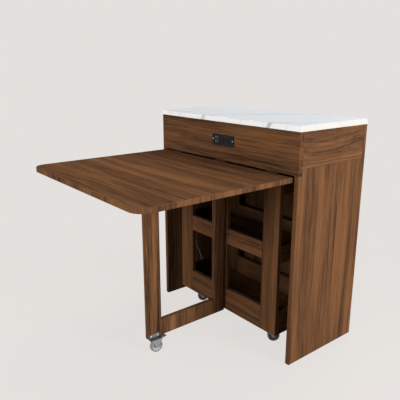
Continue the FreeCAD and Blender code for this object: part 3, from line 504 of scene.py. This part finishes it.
# Painted shade: the rack's tyres and cores are darker copies of the gate's, for the shade under
# the rack.
tyre_in_painted_shade = moulded("tyre_in_painted_shade", (0.105, 0.11, 0.115), (0.150, 0.155, 0.16), 0.6)
light_core = moulded("light_core", (0.42, 0.43, 0.44), (0.52, 0.53, 0.54), 0.4)
core_in_painted_shade = moulded("core_in_painted_shade", (0.050, 0.052, 0.055), (0.070, 0.073, 0.077), 0.5)

# %% Which piece is made of what
HARDWARE = [
    (bright_zinc, ["gate_brake_pin"]),
    (bracket_zinc_with_shade, ["gate_caster_bracket"]),
    (grey_zinc, ["catch_hook", "catch_screw_eye"]),
    (dull_zinc_and_shade, ["rack_caster_plates", "panel_catch"]),
    (dark_steel, ["leaf_hinge_fixed_plates", "leaf_hinge_moving_plates", "leaf_hinge_pins",
                  "gate_tab_lower", "gate_tab_upper", "gate_pivot_pins"]),
    (black_plastic, ["outlet_bar"]),
]
for material, names in HARDWARE:
    for name in names:
        dress(nodes[name], material)
print("hardware finished:", sum(len(names) for _, names in HARDWARE), "pieces")

# %% [markdown]
# ## Helpers for modelled pieces
#
# A piece is shaped in a bmesh, where the operators of the mesh editor can be called one after
# another, and then becomes an object that rides on a body of the table. Small pieces that
# come several times, such as screws, are made once and copied to their places.

# %% Making a piece
SHARP_ANGLE = math.radians(32)


def become_piece(name, shape, material, body, replaced=()):
    """Turns a shape into an object that rides on a body and stands for some nodes."""
    bmesh.ops.recalc_face_normals(shape, faces=shape.faces)
    mesh = bpy.data.meshes.new(name)
    shape.to_mesh(mesh)
    shape.free()
    mesh.shade_smooth()
    mesh.set_sharp_from_angle(angle=SHARP_ANGLE)
    piece = bpy.data.objects.new(name, mesh)
    bpy.context.scene.collection.objects.link(piece)
    dress(piece, material)
    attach(piece, body)
    if replaced:
        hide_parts(*replaced)
    return piece


def add_copies(shape, pattern, places):
    """Adds copies of a pattern to a shape, each moved by its own matrix."""
    mesh = bpy.data.meshes.new("pattern")
    pattern.to_mesh(mesh)
    for place in places:
        first = len(shape.verts)
        shape.from_mesh(mesh)
        shape.verts.ensure_lookup_table()
        bmesh.ops.transform(shape, matrix=place, verts=shape.verts[first:])
    bpy.data.meshes.remove(mesh)


def corners(points):
    """The lowest and the highest corner of the box round some points."""
    lists = list(zip(*points))
    return Vector([min(values) for values in lists]), Vector([max(values) for values in lists])


def solids(name):
    """The box of each separate solid of a node."""
    shape = bmesh.new()
    shape.from_mesh(nodes[name].data)
    bmesh.ops.remove_doubles(shape, verts=shape.verts, dist=1e-6)
    waiting = set(shape.verts)
    boxes = []
    while waiting:
        edge_of_island = [waiting.pop()]
        island = []
        while edge_of_island:
            vertex = edge_of_island.pop()
            island.append(vertex.co.copy())
            near = {edge.other_vert(vertex) for edge in vertex.link_edges} & waiting
            waiting -= near
            edge_of_island.extend(near)
        boxes.append(corners(island))
    shape.free()
    return boxes


# %% [markdown]
# ## Screws
#
# The screws have low domed heads with a cross recess. A recess could be cut with a Boolean
# modifier, which leaves ragged faces on so small a piece. A round grid is cleaner: its square
# cells are bent to a disc and a dome, the rim is drawn down to the board, and the cells that
# form a cross are inset and sunk.

# %% A screw head
HEAD_CELLS = 10


def round_grid(shape, radius, height, crown):
    """A grid bent to a domed disc; the crown is how much of the height its middle rises."""
    bmesh.ops.create_grid(shape, x_segments=HEAD_CELLS, y_segments=HEAD_CELLS, size=1)
    for vertex in shape.verts:
        x = vertex.co.x * math.sqrt(1 - vertex.co.y ** 2 / 2)
        y = vertex.co.y * math.sqrt(1 - vertex.co.x ** 2 / 2)
        vertex.co = (radius * x, radius * y, height * (1 - crown * (x * x + y * y)))


def screw_head(radius, height):
    """A head that stands on the origin, faces +Z and has a cross recess."""
    head = bmesh.new()
    round_grid(head, radius, height, crown=0.45)
    arm, reach = 0.15 * radius, 0.62 * radius
    cross = []
    for face in head.faces:
        x, y, _ = (abs(part) for part in face.calc_center_median())
        if min(x, y) < arm and max(x, y) < reach:
            cross.append(face)
    rim = [edge for edge in head.edges if edge.is_boundary]
    bmesh.ops.inset_region(head, faces=cross, thickness=0.03 * radius, depth=-0.6 * height,
                           use_even_offset=True)
    skirt = bmesh.ops.extrude_edge_only(head, edges=rim)["geom"]
    for part in skirt:
        if isinstance(part, bmesh.types.BMVert):
            part.co.z = 0
    return head


# %% Screws in their places
# Node, body, the way the heads look, how far they stand out, and their metal.
SCREWS = [
    ("outlet_screws", "carcass", (0, -1, 0), 0.0015, grey_zinc),
    ("leaf_hinge_fixed_screws", "carcass", (0, 0, -1), 0.0006, dark_steel),
    ("leaf_hinge_moving_screws", "leaf", (0, 1, 0), 0.0006, dark_steel),
    ("rack_caster_screws", "rack", (0, 0, -1), 0.0014, grey_zinc),
    ("gate_bracket_screws", "gate", (1, 0, 0), 0.0014, bright_zinc),
]


def add_screws(name, body, outward, height, material):
    """Replaces a node of plain screws by heads that look outward."""
    outward = Vector(outward)
    turn = outward.to_track_quat("Z", "Y").to_matrix().to_4x4()
    axis = max(range(3), key=lambda index: abs(outward[index]))
    places = []
    for low, high in solids(name):
        seat = (low + high) / 2
        crown = high[axis] if outward[axis] > 0 else low[axis]
        seat[axis] = crown - outward[axis] * height
        places.append(Matrix.Translation(seat) @ turn)
    across = (axis + 1) % 3
    radius = (high[across] - low[across]) / 2
    heads = bmesh.new()
    pattern = screw_head(radius, height)
    add_copies(heads, pattern, places)
    pattern.free()
    become_piece(f"{name}_heads", heads, material, body, [name])
    print(name, len(places), "heads of radius", round(radius * 1000, 1), "mm")


for row in SCREWS:
    add_screws(*row)

# %% [markdown]
# ## Casters
#
# A caster is a fork that swivels about an upright kingpin, with the wheel's axle behind it.
# The joints of the table say where both axes are, so every caster is built at the origin,
# with the kingpin on the Z axis and the axle along Y, and then moved to where its joints are.

# %% Where a caster stands
joints = {joint["name"]: joint for joint in frame["joints"]}


def caster_place(swivel, spin):
    """The matrix that moves a caster from the origin to its joints."""
    kingpin = Vector(joints[swivel]["pos_m"])
    axle = Vector(joints[spin]["pos_m"])
    back = Vector((axle.x - kingpin.x, axle.y - kingpin.y, 0))
    trail = back.length
    back.normalize()
    over = Vector((0, 0, 1))
    side = over.cross(back)
    turn = Matrix((back, side, over)).transposed().to_4x4()
    return Matrix.Translation((kingpin.x, kingpin.y, 0)) @ turn, trail


# %% [markdown]
# ### The wheel
#
# A grey rubber tyre sits on a plastic core. Both are turned shapes, so each is a profile that
# is spun round the axle. The core has a thin web between rim and hub, stiffened by six ribs,
# as a moulding has to save material and to cool evenly. The gate's wheel has a grey tyre and a
# pale core. The rack's wheels are the same, painted darker in both as painted shade for the
# shade under the rack.

# %% Spinning a profile
WHEEL_RADIUS = 0.025
WHEEL_WIDTH = 0.018
RIM_RADIUS = 0.0195
AXLE_RADIUS = 0.0031
HUB_RADIUS = 0.007
WEB_RADIUS = 0.0165
WEB_HALF = 0.003
RIM_INSET = 0.0015
TYRE_SHOULDER = 0.004
SHOULDER_DROP = 0.0008
RIBS = 6
RIB_MIDDLE = 0.0118
RIB_SIZE = (0.0102, WHEEL_WIDTH - 0.005, 0.0016)
TURNS = 48


def turned(profile, axis, steps=TURNS):
    """A closed profile of (radius, height along the axis) pairs, spun a full turn."""
    shape = bmesh.new()
    across = Vector((1, 0, 0))
    ring = [shape.verts.new(across * radius + Vector(axis) * height) for radius, height in profile]
    outline = [shape.edges.new((a, b)) for a, b in zip(ring, ring[1:] + ring[:1])]
    bmesh.ops.spin(shape, geom=ring + outline, axis=axis, cent=(0, 0, 0), dvec=(0, 0, 0),
                   angle=2 * math.pi, steps=steps, use_merge=True)
    bmesh.ops.remove_doubles(shape, verts=shape.verts, dist=1e-6)
    bmesh.ops.recalc_face_normals(shape, faces=shape.faces)
    return shape


def soften(shape, size, segments=2, angle=math.radians(40)):
    """Rounds the edges of a shape that turn by more than an angle."""
    sharp = [edge for edge in shape.edges
             if len(edge.link_faces) == 2 and edge.calc_face_angle() > angle]
    bmesh.ops.bevel(shape, geom=sharp, offset=size, affect="EDGES", segments=segments,
                    profile=0.5, material=-1, clamp_overlap=True)


def tyre():
    """A tyre round the Y axis, with rounded shoulders."""
    half = WHEEL_WIDTH / 2
    shape = turned([
        (RIM_RADIUS, -half),
        (WHEEL_RADIUS - SHOULDER_DROP, -half),
        (WHEEL_RADIUS, -half + TYRE_SHOULDER),
        (WHEEL_RADIUS, half - TYRE_SHOULDER),
        (WHEEL_RADIUS - SHOULDER_DROP, half),
        (RIM_RADIUS, half),
    ], (0, 1, 0))
    soften(shape, 0.0009, segments=3, angle=math.radians(20))
    return shape


def wheel_core():
    """A core round the Y axis: hub, web, rim and ribs."""
    half = WHEEL_WIDTH / 2
    core = turned([
        (AXLE_RADIUS, -half),
        (HUB_RADIUS, -half),
        (HUB_RADIUS, -WEB_HALF),
        (WEB_RADIUS, -WEB_HALF),
        (WEB_RADIUS, RIM_INSET - half),
        (RIM_RADIUS, RIM_INSET - half),
        (RIM_RADIUS, half - RIM_INSET),
        (WEB_RADIUS, half - RIM_INSET),
        (WEB_RADIUS, WEB_HALF),
        (HUB_RADIUS, WEB_HALF),
        (HUB_RADIUS, half),
        (AXLE_RADIUS, half),
    ], (0, 1, 0))
    soften(core, 0.0004)
    rib = bmesh.new()
    size = Matrix.Diagonal((*RIB_SIZE, 1))
    bmesh.ops.create_cube(rib, size=1, matrix=Matrix.Translation((RIB_MIDDLE, 0, 0)) @ size)
    bmesh.ops.bevel(rib, geom=rib.edges[:], offset=0.0003, affect="EDGES", segments=1,
                    profile=0.5, material=-1)
    add_copies(core, rib, [Matrix.Rotation(math.radians(360 / RIBS * k), 4, "Y")
                           for k in range(RIBS)])
    rib.free()
    return core


# %% [markdown]
# ### The fork
#
# The fork is pressed from one sheet of steel: two cheeks and a hood over the wheel, folded
# with round bends. So it is made as the press makes it. The side view is extruded to the
# width of the fork, its two upper edges are rounded, every face that isn't sheet is deleted,
# and what remains is given the thickness of the sheet. On it lies the ball race, painted
# nearly black as painted shade for the gap under the plate, and a bolt through both cheeks
# carries the wheel.

# %% The pressed fork
FORK_WIDTH = 0.0236
SHEET = 0.002
HOOD_TOP = 0.0605
BEND = 0.0032
BOSS = 0.007
FRONT_LIP = 0.008
REAR_LIP = 0.010


def side_outline(shape, trail, front, rear, side):
    """The side view of a fork as one face, with a round boss at the axle."""
    low = WHEEL_RADIUS - BOSS
    spots = [
        (-front, HOOD_TOP), (-front, HOOD_TOP - FRONT_LIP), (trail - BOSS, WHEEL_RADIUS),
        (trail - BOSS, low), (trail + BOSS, low), (trail + BOSS, WHEEL_RADIUS),
        (rear, HOOD_TOP - REAR_LIP), (rear, HOOD_TOP),
    ]
    ring = [shape.verts.new((x, side, z)) for x, z in spots]
    face = shape.faces.new(ring)
    bmesh.ops.bevel(shape, geom=ring[3:5], offset=BOSS * 0.98, affect="VERTICES", segments=6,
                    profile=0.5, material=-1)
    shape.faces.ensure_lookup_table()
    return shape.faces[0]


def pressed_fork(trail, front, rear, open_from=None):
    """A folded fork; behind open_from its hood is left out to make room for a pedal."""
    shape = bmesh.new()
    cheek = side_outline(shape, trail, front, rear, -FORK_WIDTH / 2)
    swept = bmesh.ops.extrude_face_region(shape, geom=[cheek])["geom"]
    moved = [part for part in swept if isinstance(part, bmesh.types.BMVert)]
    bmesh.ops.translate(shape, vec=(0, FORK_WIDTH, 0), verts=moved)
    bmesh.ops.recalc_face_normals(shape, faces=shape.faces)
    bends = [edge for edge in shape.edges
             if all(abs(vertex.co.z - HOOD_TOP) < 1e-6 for vertex in edge.verts)
             and abs(edge.verts[0].co.x - edge.verts[1].co.x) > 1e-4]
    bmesh.ops.bevel(shape, geom=bends, offset=BEND, affect="EDGES", segments=4, profile=0.5,
                    material=-1)
    if open_from is not None:
        bmesh.ops.bisect_plane(shape, geom=shape.verts[:] + shape.edges[:] + shape.faces[:],
                               plane_co=(open_from, 0, 0), plane_no=(1, 0, 0), dist=1e-6)
    spare = []
    for face in shape.faces:
        middle = face.calc_center_median()
        is_cheek = abs(face.normal.y) > 0.99
        is_hood = middle.z > HOOD_TOP - BEND - 1e-5 and abs(face.normal.x) < 0.01
        if open_from is not None and middle.x > open_from:
            is_hood = False
        if not (is_cheek or is_hood):
            spare.append(face)
    bmesh.ops.delete(shape, geom=spare, context="FACES")
    bmesh.ops.solidify(shape, geom=shape.faces[:], thickness=SHEET)
    bmesh.ops.recalc_face_normals(shape, faces=shape.faces)
    return shape


# %% The race and the axle
RACE_TOP = 0.0631


def swivel_race():
    """Two dished rings with a groove between them, in which the balls run."""
    return turned([
        (0.0042, HOOD_TOP), (0.0132, HOOD_TOP), (0.0138, HOOD_TOP + 0.0004),
        (0.0138, HOOD_TOP + 0.0009), (0.0130, HOOD_TOP + 0.0011), (0.0130, HOOD_TOP + 0.0015),
        (0.0138, HOOD_TOP + 0.0017), (0.0138, RACE_TOP - 0.0005), (0.0133, RACE_TOP),
        (0.0042, RACE_TOP),
    ], (0, 0, 1))


def axle_bolt(trail):
    """The axle: a domed head on one cheek and a hexagonal nut on the other."""
    half = FORK_WIDTH / 2
    shape = turned([
        (0.0001, -half - 0.0012), (0.0030, -half - 0.0012), (0.0044, -half - 0.0008),
        (0.0050, -half), (0.0030, -half), (0.0030, half + 0.0010), (0.0024, half + 0.0012),
        (0.0001, half + 0.0012),
    ], (0, 1, 0), steps=32)
    bmesh.ops.create_cone(shape, segments=6, radius1=0.0050, radius2=0.0050, depth=0.0011,
                          cap_ends=True, matrix=Matrix.Translation((0, half + 0.00055, 0))
                          @ Matrix.Rotation(math.pi / 2, 4, "X"))
    bmesh.ops.translate(shape, vec=(trail, 0, WHEEL_RADIUS), verts=shape.verts)
    return shape


# %% All five casters
# How far the hood reaches to the front and to the rear, and behind what point it is left out.
GATE_HOOD = (0.0150, 0.036, 0.024)
RACK_HOOD = (0.018, 0.032, None)
CASTERS = [
    dict(name="gate", swivel="gate_caster_swivel", spin="gate_wheel_spin",
         fork_body="gate_fork", wheel_body="gate_wheel",
         fork_nodes=["gate_caster_fork", "gate_caster_axle"], wheel_node="gate_caster_wheel",
         hood=GATE_HOOD, steel=grey_zinc, rubber=light_tyre, core=light_core),
]
for end in ("front", "back"):
    for side in ("left", "right"):
        spot = f"{end}_{side}"
        CASTERS.append(dict(
            name=f"rack_{spot}", swivel=f"rack_swivel_{spot}", spin=f"rack_spin_{spot}",
            fork_body=f"fork_{spot}", wheel_body=f"wheel_{spot}",
            fork_nodes=[f"rack_fork_{spot}"], wheel_node=f"rack_wheel_{spot}",
            hood=RACK_HOOD, steel=dull_zinc_and_shade, rubber=tyre_in_painted_shade, core=core_in_painted_shade,
        ))


def add_caster(name, swivel, spin, fork_body, wheel_body, fork_nodes, wheel_node,
               hood, steel, rubber, core):
    """Replaces the plain fork, axle and wheel of one caster."""
    place, trail = caster_place(swivel, spin)
    fork = pressed_fork(trail, *hood)
    bolt = axle_bolt(trail)
    add_copies(fork, bolt, [Matrix.Identity(4)])
    bolt.free()
    race = swivel_race()
    for part, shape, material in (("pressed_fork", fork, steel), ("race", race, race_shade_steel)):
        bmesh.ops.transform(shape, matrix=place, verts=shape.verts)
        become_piece(f"{name}_{part}", shape, material, fork_body, fork_nodes)
    at_axle = place @ Matrix.Translation((trail, 0, WHEEL_RADIUS))
    for part, shape, material in (("tyre", tyre(), rubber), ("wheel_core", wheel_core(), core)):
        bmesh.ops.transform(shape, matrix=at_axle, verts=shape.verts)
        become_piece(f"{name}_{part}", shape, material, wheel_body, [wheel_node])


for caster in CASTERS:
    add_caster(**caster)
print("casters:", len(CASTERS))

# %% [markdown]
# ### The brake pedal
#
# The caster of the gate has a plastic brake pedal behind its hood. Its side view is extruded
# and its edges are rounded, and three ridges on its tread give the shoe a grip. One fault is
# left: where the tread begins, the rounding throws up a thin fin at one upper edge.

# %% The pedal
PEDAL_WIDTH = 0.0188
PIVOT_BACK = 0.031
PIVOT_HEIGHT = 0.050
TREAD_LENGTH = 0.022
TREAD_FALL = 0.001
RIDGES_UP = 0.0083
RIDGES_BACK = (0.012, 0.0165, 0.021)
RIDGE_SIZE = (0.0014, PEDAL_WIDTH - 0.005, 0.0010)


def brake_pedal():
    """The pedal of a caster whose kingpin is on the Z axis; its tread points along +X."""
    shape = bmesh.new()
    spots = [(-0.0035, -0.0025), (0.003, -0.0035), (0.007, 0.002), (0.025, 0.0045),
             (0.025, 0.007), (0.003, 0.008), (-0.0035, 0.005)]
    ring = [shape.verts.new((x, -PEDAL_WIDTH / 2, z)) for x, z in spots]
    side = shape.faces.new(ring)
    swept = bmesh.ops.extrude_face_region(shape, geom=[side])["geom"]
    moved = [part for part in swept if isinstance(part, bmesh.types.BMVert)]
    bmesh.ops.translate(shape, vec=(0, PEDAL_WIDTH, 0), verts=moved)
    bmesh.ops.recalc_face_normals(shape, faces=shape.faces)
    soften(shape, 0.0008, segments=3, angle=math.radians(15))
    ridge = bmesh.new()
    bmesh.ops.create_cube(ridge, size=1, matrix=Matrix.Diagonal((*RIDGE_SIZE, 1)))
    bmesh.ops.bevel(ridge, geom=ridge.edges[:], offset=0.0004, affect="EDGES", segments=2,
                    profile=0.5, material=-1)
    slope = Matrix.Rotation(math.atan2(TREAD_FALL, TREAD_LENGTH), 4, "Y")
    places = [Matrix.Translation((x, 0, RIDGES_UP - x * TREAD_FALL / TREAD_LENGTH)) @ slope
              for x in RIDGES_BACK]
    add_copies(shape, ridge, places)
    ridge.free()
    bmesh.ops.translate(shape, vec=(PIVOT_BACK, 0, PIVOT_HEIGHT), verts=shape.verts)
    return shape


pedal = brake_pedal()
gate_place, _ = caster_place("gate_caster_swivel", "gate_wheel_spin")
bmesh.ops.transform(pedal, matrix=gate_place, verts=pedal.verts)
become_piece("gate_rounded_pedal", pedal, pedal_plastic, "gate_pedal",
             ["gate_brake_pedal"])

# %% [markdown]
# ## The mouths of the power outlet
#
# The outlet is a black bar let into the apron. Its openings are in the CAD solid already. What
# gives it life is what a fitter would see: a bright steel shell with a plastic tongue in each
# USB port, a grey frame round the two ports, and a raised frame, a little glossier than the
# bar, round each socket.

# %% Frames and shells
outlet_low, outlet_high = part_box("outlet_bar")
FACE_Y = outlet_low.y
OUTLET_MIDDLE = Vector((
    (outlet_low.x + outlet_high.x) / 2,
    FACE_Y,
    (outlet_low.z + outlet_high.z) / 2,
))


def frame_ring(width, height, corner, border, depth):
    """A flat ring with rounded corners in the XZ plane, that stands depth out of it."""
    ring = bmesh.new()
    bmesh.ops.create_grid(ring, x_segments=1, y_segments=1, size=0.5,
                          matrix=Matrix.Rotation(math.pi / 2, 4, "X"))
    bmesh.ops.scale(ring, vec=(width, 1, height), verts=ring.verts)
    bmesh.ops.bevel(ring, geom=ring.verts[:], offset=corner, affect="VERTICES", segments=5,
                    profile=0.5, material=-1)
    inner = bmesh.ops.inset_region(ring, faces=ring.faces[:], thickness=border,
                                   use_boundary=True, use_even_offset=True)
    rim = set(inner["faces"])
    bmesh.ops.delete(ring, geom=[face for face in ring.faces if face not in rim],
                     context="FACES")
    swept = bmesh.ops.extrude_face_region(ring, geom=ring.faces[:])["geom"]
    moved = [part for part in swept if isinstance(part, bmesh.types.BMVert)]
    bmesh.ops.translate(ring, vec=(0, -depth, 0), verts=moved)
    bmesh.ops.recalc_face_normals(ring, faces=ring.faces)
    return ring


def at_outlet(x, z, y=0.0):
    """The matrix that moves a piece from the origin to a spot on the face of the outlet."""
    return Matrix.Translation(OUTLET_MIDDLE + Vector((x, y, z)))


SOCKETS_X = (0.007, 0.033)
USB_X = -0.036
USB_RISE = (0.0065, -0.0065)

frames = bmesh.new()
socket_frame = frame_ring(width=0.0225, height=0.033, corner=0.004, border=0.0012, depth=0.0006)
add_copies(frames, socket_frame, [at_outlet(x, -0.0005) for x in SOCKETS_X])
socket_frame.free()
become_piece("socket_frames", frames, frame_plastic, "carcass")

usb_plate = frame_ring(width=0.0175, height=0.0265, corner=0.002, border=0.0010, depth=0.0005)
plates = bmesh.new()
add_copies(plates, usb_plate, [at_outlet(USB_X, 0)])
usb_plate.free()
become_piece("usb_frame", plates, grey_plastic, "carcass")

# %% USB shells and tongues
TONGUE_SIZE = (0.0112, 0.0080, 0.0016)

shells = bmesh.new()
shell = frame_ring(width=0.0129, height=0.0053, corner=0.0006, border=0.0004, depth=0.0082)
add_copies(shells, shell, [at_outlet(USB_X, rise, 0.008) for rise in USB_RISE])
shell.free()
become_piece("usb_shells", shells, bright_zinc, "carcass")

tongues = bmesh.new()
tongue = bmesh.new()
bmesh.ops.create_cube(tongue, size=1, matrix=Matrix.Diagonal((*TONGUE_SIZE, 1)))
bmesh.ops.bevel(tongue, geom=tongue.edges[:], offset=0.0003, affect="EDGES", segments=2,
                profile=0.5, material=-1)
add_copies(tongues, tongue, [at_outlet(USB_X, rise + 0.0009, 0.0055) for rise in USB_RISE])
tongue.free()
become_piece("usb_tongues", tongues, grey_plastic, "carcass")
print("outlet mouths at", [round(v, 3) for v in OUTLET_MIDDLE])

# %% [markdown]
# ## Floor and background
#
# The floor and the background are pale and even. If their brightness came from the lamps, the
# lamps would have to burn out the marble. So the camera, and every mirror-like reflection,
# sees them in their own colour, and all other light meets a plain matt floor. Near the table
# a share of real paint is mixed in, and that share is what shows the table's shadow.

# %% The floor
PALE = (0.776, 0.745, 0.723, 1)
FLOOR_SIZE = 12.0
MATT_GREY = (0.30, 0.285, 0.275, 1)
SHADOW_NEAR = 0.7
SHADOW_FAR = 1.6
SHADOW_SHARE = 0.09
PAINT = (0.80, 0.77, 0.75, 1)


def shown_directly(finish):
    """1 for what the camera sees, straight or in a mirror or glass."""
    camera_ray, glossy, through = (
        finish.node("ShaderNodeLightPath", {}, {}, f"Is {kind} Ray")
        for kind in ("Camera", "Glossy", "Transmission")
    )
    either = camera_ray.maths("MAXIMUM", camera_ray, glossy)
    return either.maths("MAXIMUM", either, through)


shape = bmesh.new()
bmesh.ops.create_grid(shape, x_segments=1, y_segments=1, size=FLOOR_SIZE)
floor_mesh = bpy.data.meshes.new("floor")
shape.to_mesh(floor_mesh)
shape.free()
floor = bpy.data.objects.new("floor", floor_mesh)
bpy.context.scene.collection.objects.link(floor)

floor_finish = Finish(bpy.data.materials.new("pale_floor"), sockets={
    "Base Color": MATT_GREY,
    "Roughness": 0.9,
    "Specular IOR Level": 0.0,
})
x, y, _ = floor_finish.split(floor_finish.surface_point())
distance = x.maths("SQRT", x * x + y * y)
share = (1 - floor_finish.rise(distance, SHADOW_NEAR, SHADOW_FAR)) * SHADOW_SHARE
glow = floor_finish.node("ShaderNodeEmission", {}, {"Color": PALE, "Strength": 1.0})
paint = floor_finish.node("ShaderNodeBsdfDiffuse", {}, {"Color": PAINT})
seen = floor_finish.node("ShaderNodeMixShader", {}, {0: share, 1: glow, 2: paint})
floor_finish.show(floor_finish.node("ShaderNodeMixShader", {}, {
    0: shown_directly(floor_finish),
    1: floor_finish.own_shader(),
    2: seen,
}))
dress(floor, floor_finish.owner)

# %% The background
WORLD_STRENGTH = 0.05
world = bpy.data.worlds.new("studio")
bpy.context.scene.world = world
sky = Finish(world, "Background", {"Color": (1, 1, 1, 1), "Strength": WORLD_STRENGTH})
backdrop = sky.node("ShaderNodeBackground", {}, {"Color": PALE, "Strength": 1.0})
sky.show(sky.node("ShaderNodeMixShader", {}, {
    0: shown_directly(sky),
    1: sky.own_shader(),
    2: backdrop,
}))

# %% [markdown]
# ## Lamps
#
# A strong lamp to the right lights the side panel and grazes the worktop. Weaker ones in front,
# above and behind open the shadows, but leave the inside of the rack dark. Those above and
# behind are a little warmer. All are square area lamps, because their shadows are soft.

# %% Lamps
TABLE_MIDDLE = Vector((0, 0, 0.5))
NEUTRAL = (1.0, 1.0, 1.0)
WARM = (1.0, 0.985, 0.95)


def soft_lamp(name, place, size, power, tint):
    """A square area lamp aimed at the middle of the table."""
    lamp = bpy.data.lights.new(name, "AREA")
    lamp.shape = "SQUARE"
    lamp.size = size
    lamp.energy = power
    lamp.color = tint
    stand = bpy.data.objects.new(name, lamp)
    bpy.context.scene.collection.objects.link(stand)
    stand.location = place
    aim = TABLE_MIDDLE - Vector(place)
    stand.rotation_euler = aim.to_track_quat("-Z", "Y").to_euler()


# Name, place, size in metres, power in watts, and tint.
LAMPS = [
    ("right_lamp", (3.17, 0.85, 1.38), 1.4, 124, NEUTRAL),
    ("right_front_lamp", (0.85, -3.17, 1.45), 1.4, 38, NEUTRAL),
    ("front_lamp", (-0.40, -3.40, 1.20), 1.6, 31, NEUTRAL),
    ("left_front_lamp", (-2.40, -2.40, 2.20), 1.6, 15, NEUTRAL),
    ("back_lamp", (-0.40, 2.50, 2.80), 1.6, 60, WARM),
    ("high_front_lamp", (0.30, -2.40, 3.00), 1.6, 30, WARM),
    ("top_lamp", (0.0, 0.0, 3.6), 1.8, 16, WARM),
]
for lamp in LAMPS:
    soft_lamp(*lamp)
bpy.context.scene.view_settings.view_transform = "Standard"
print("lamps:", len(LAMPS))
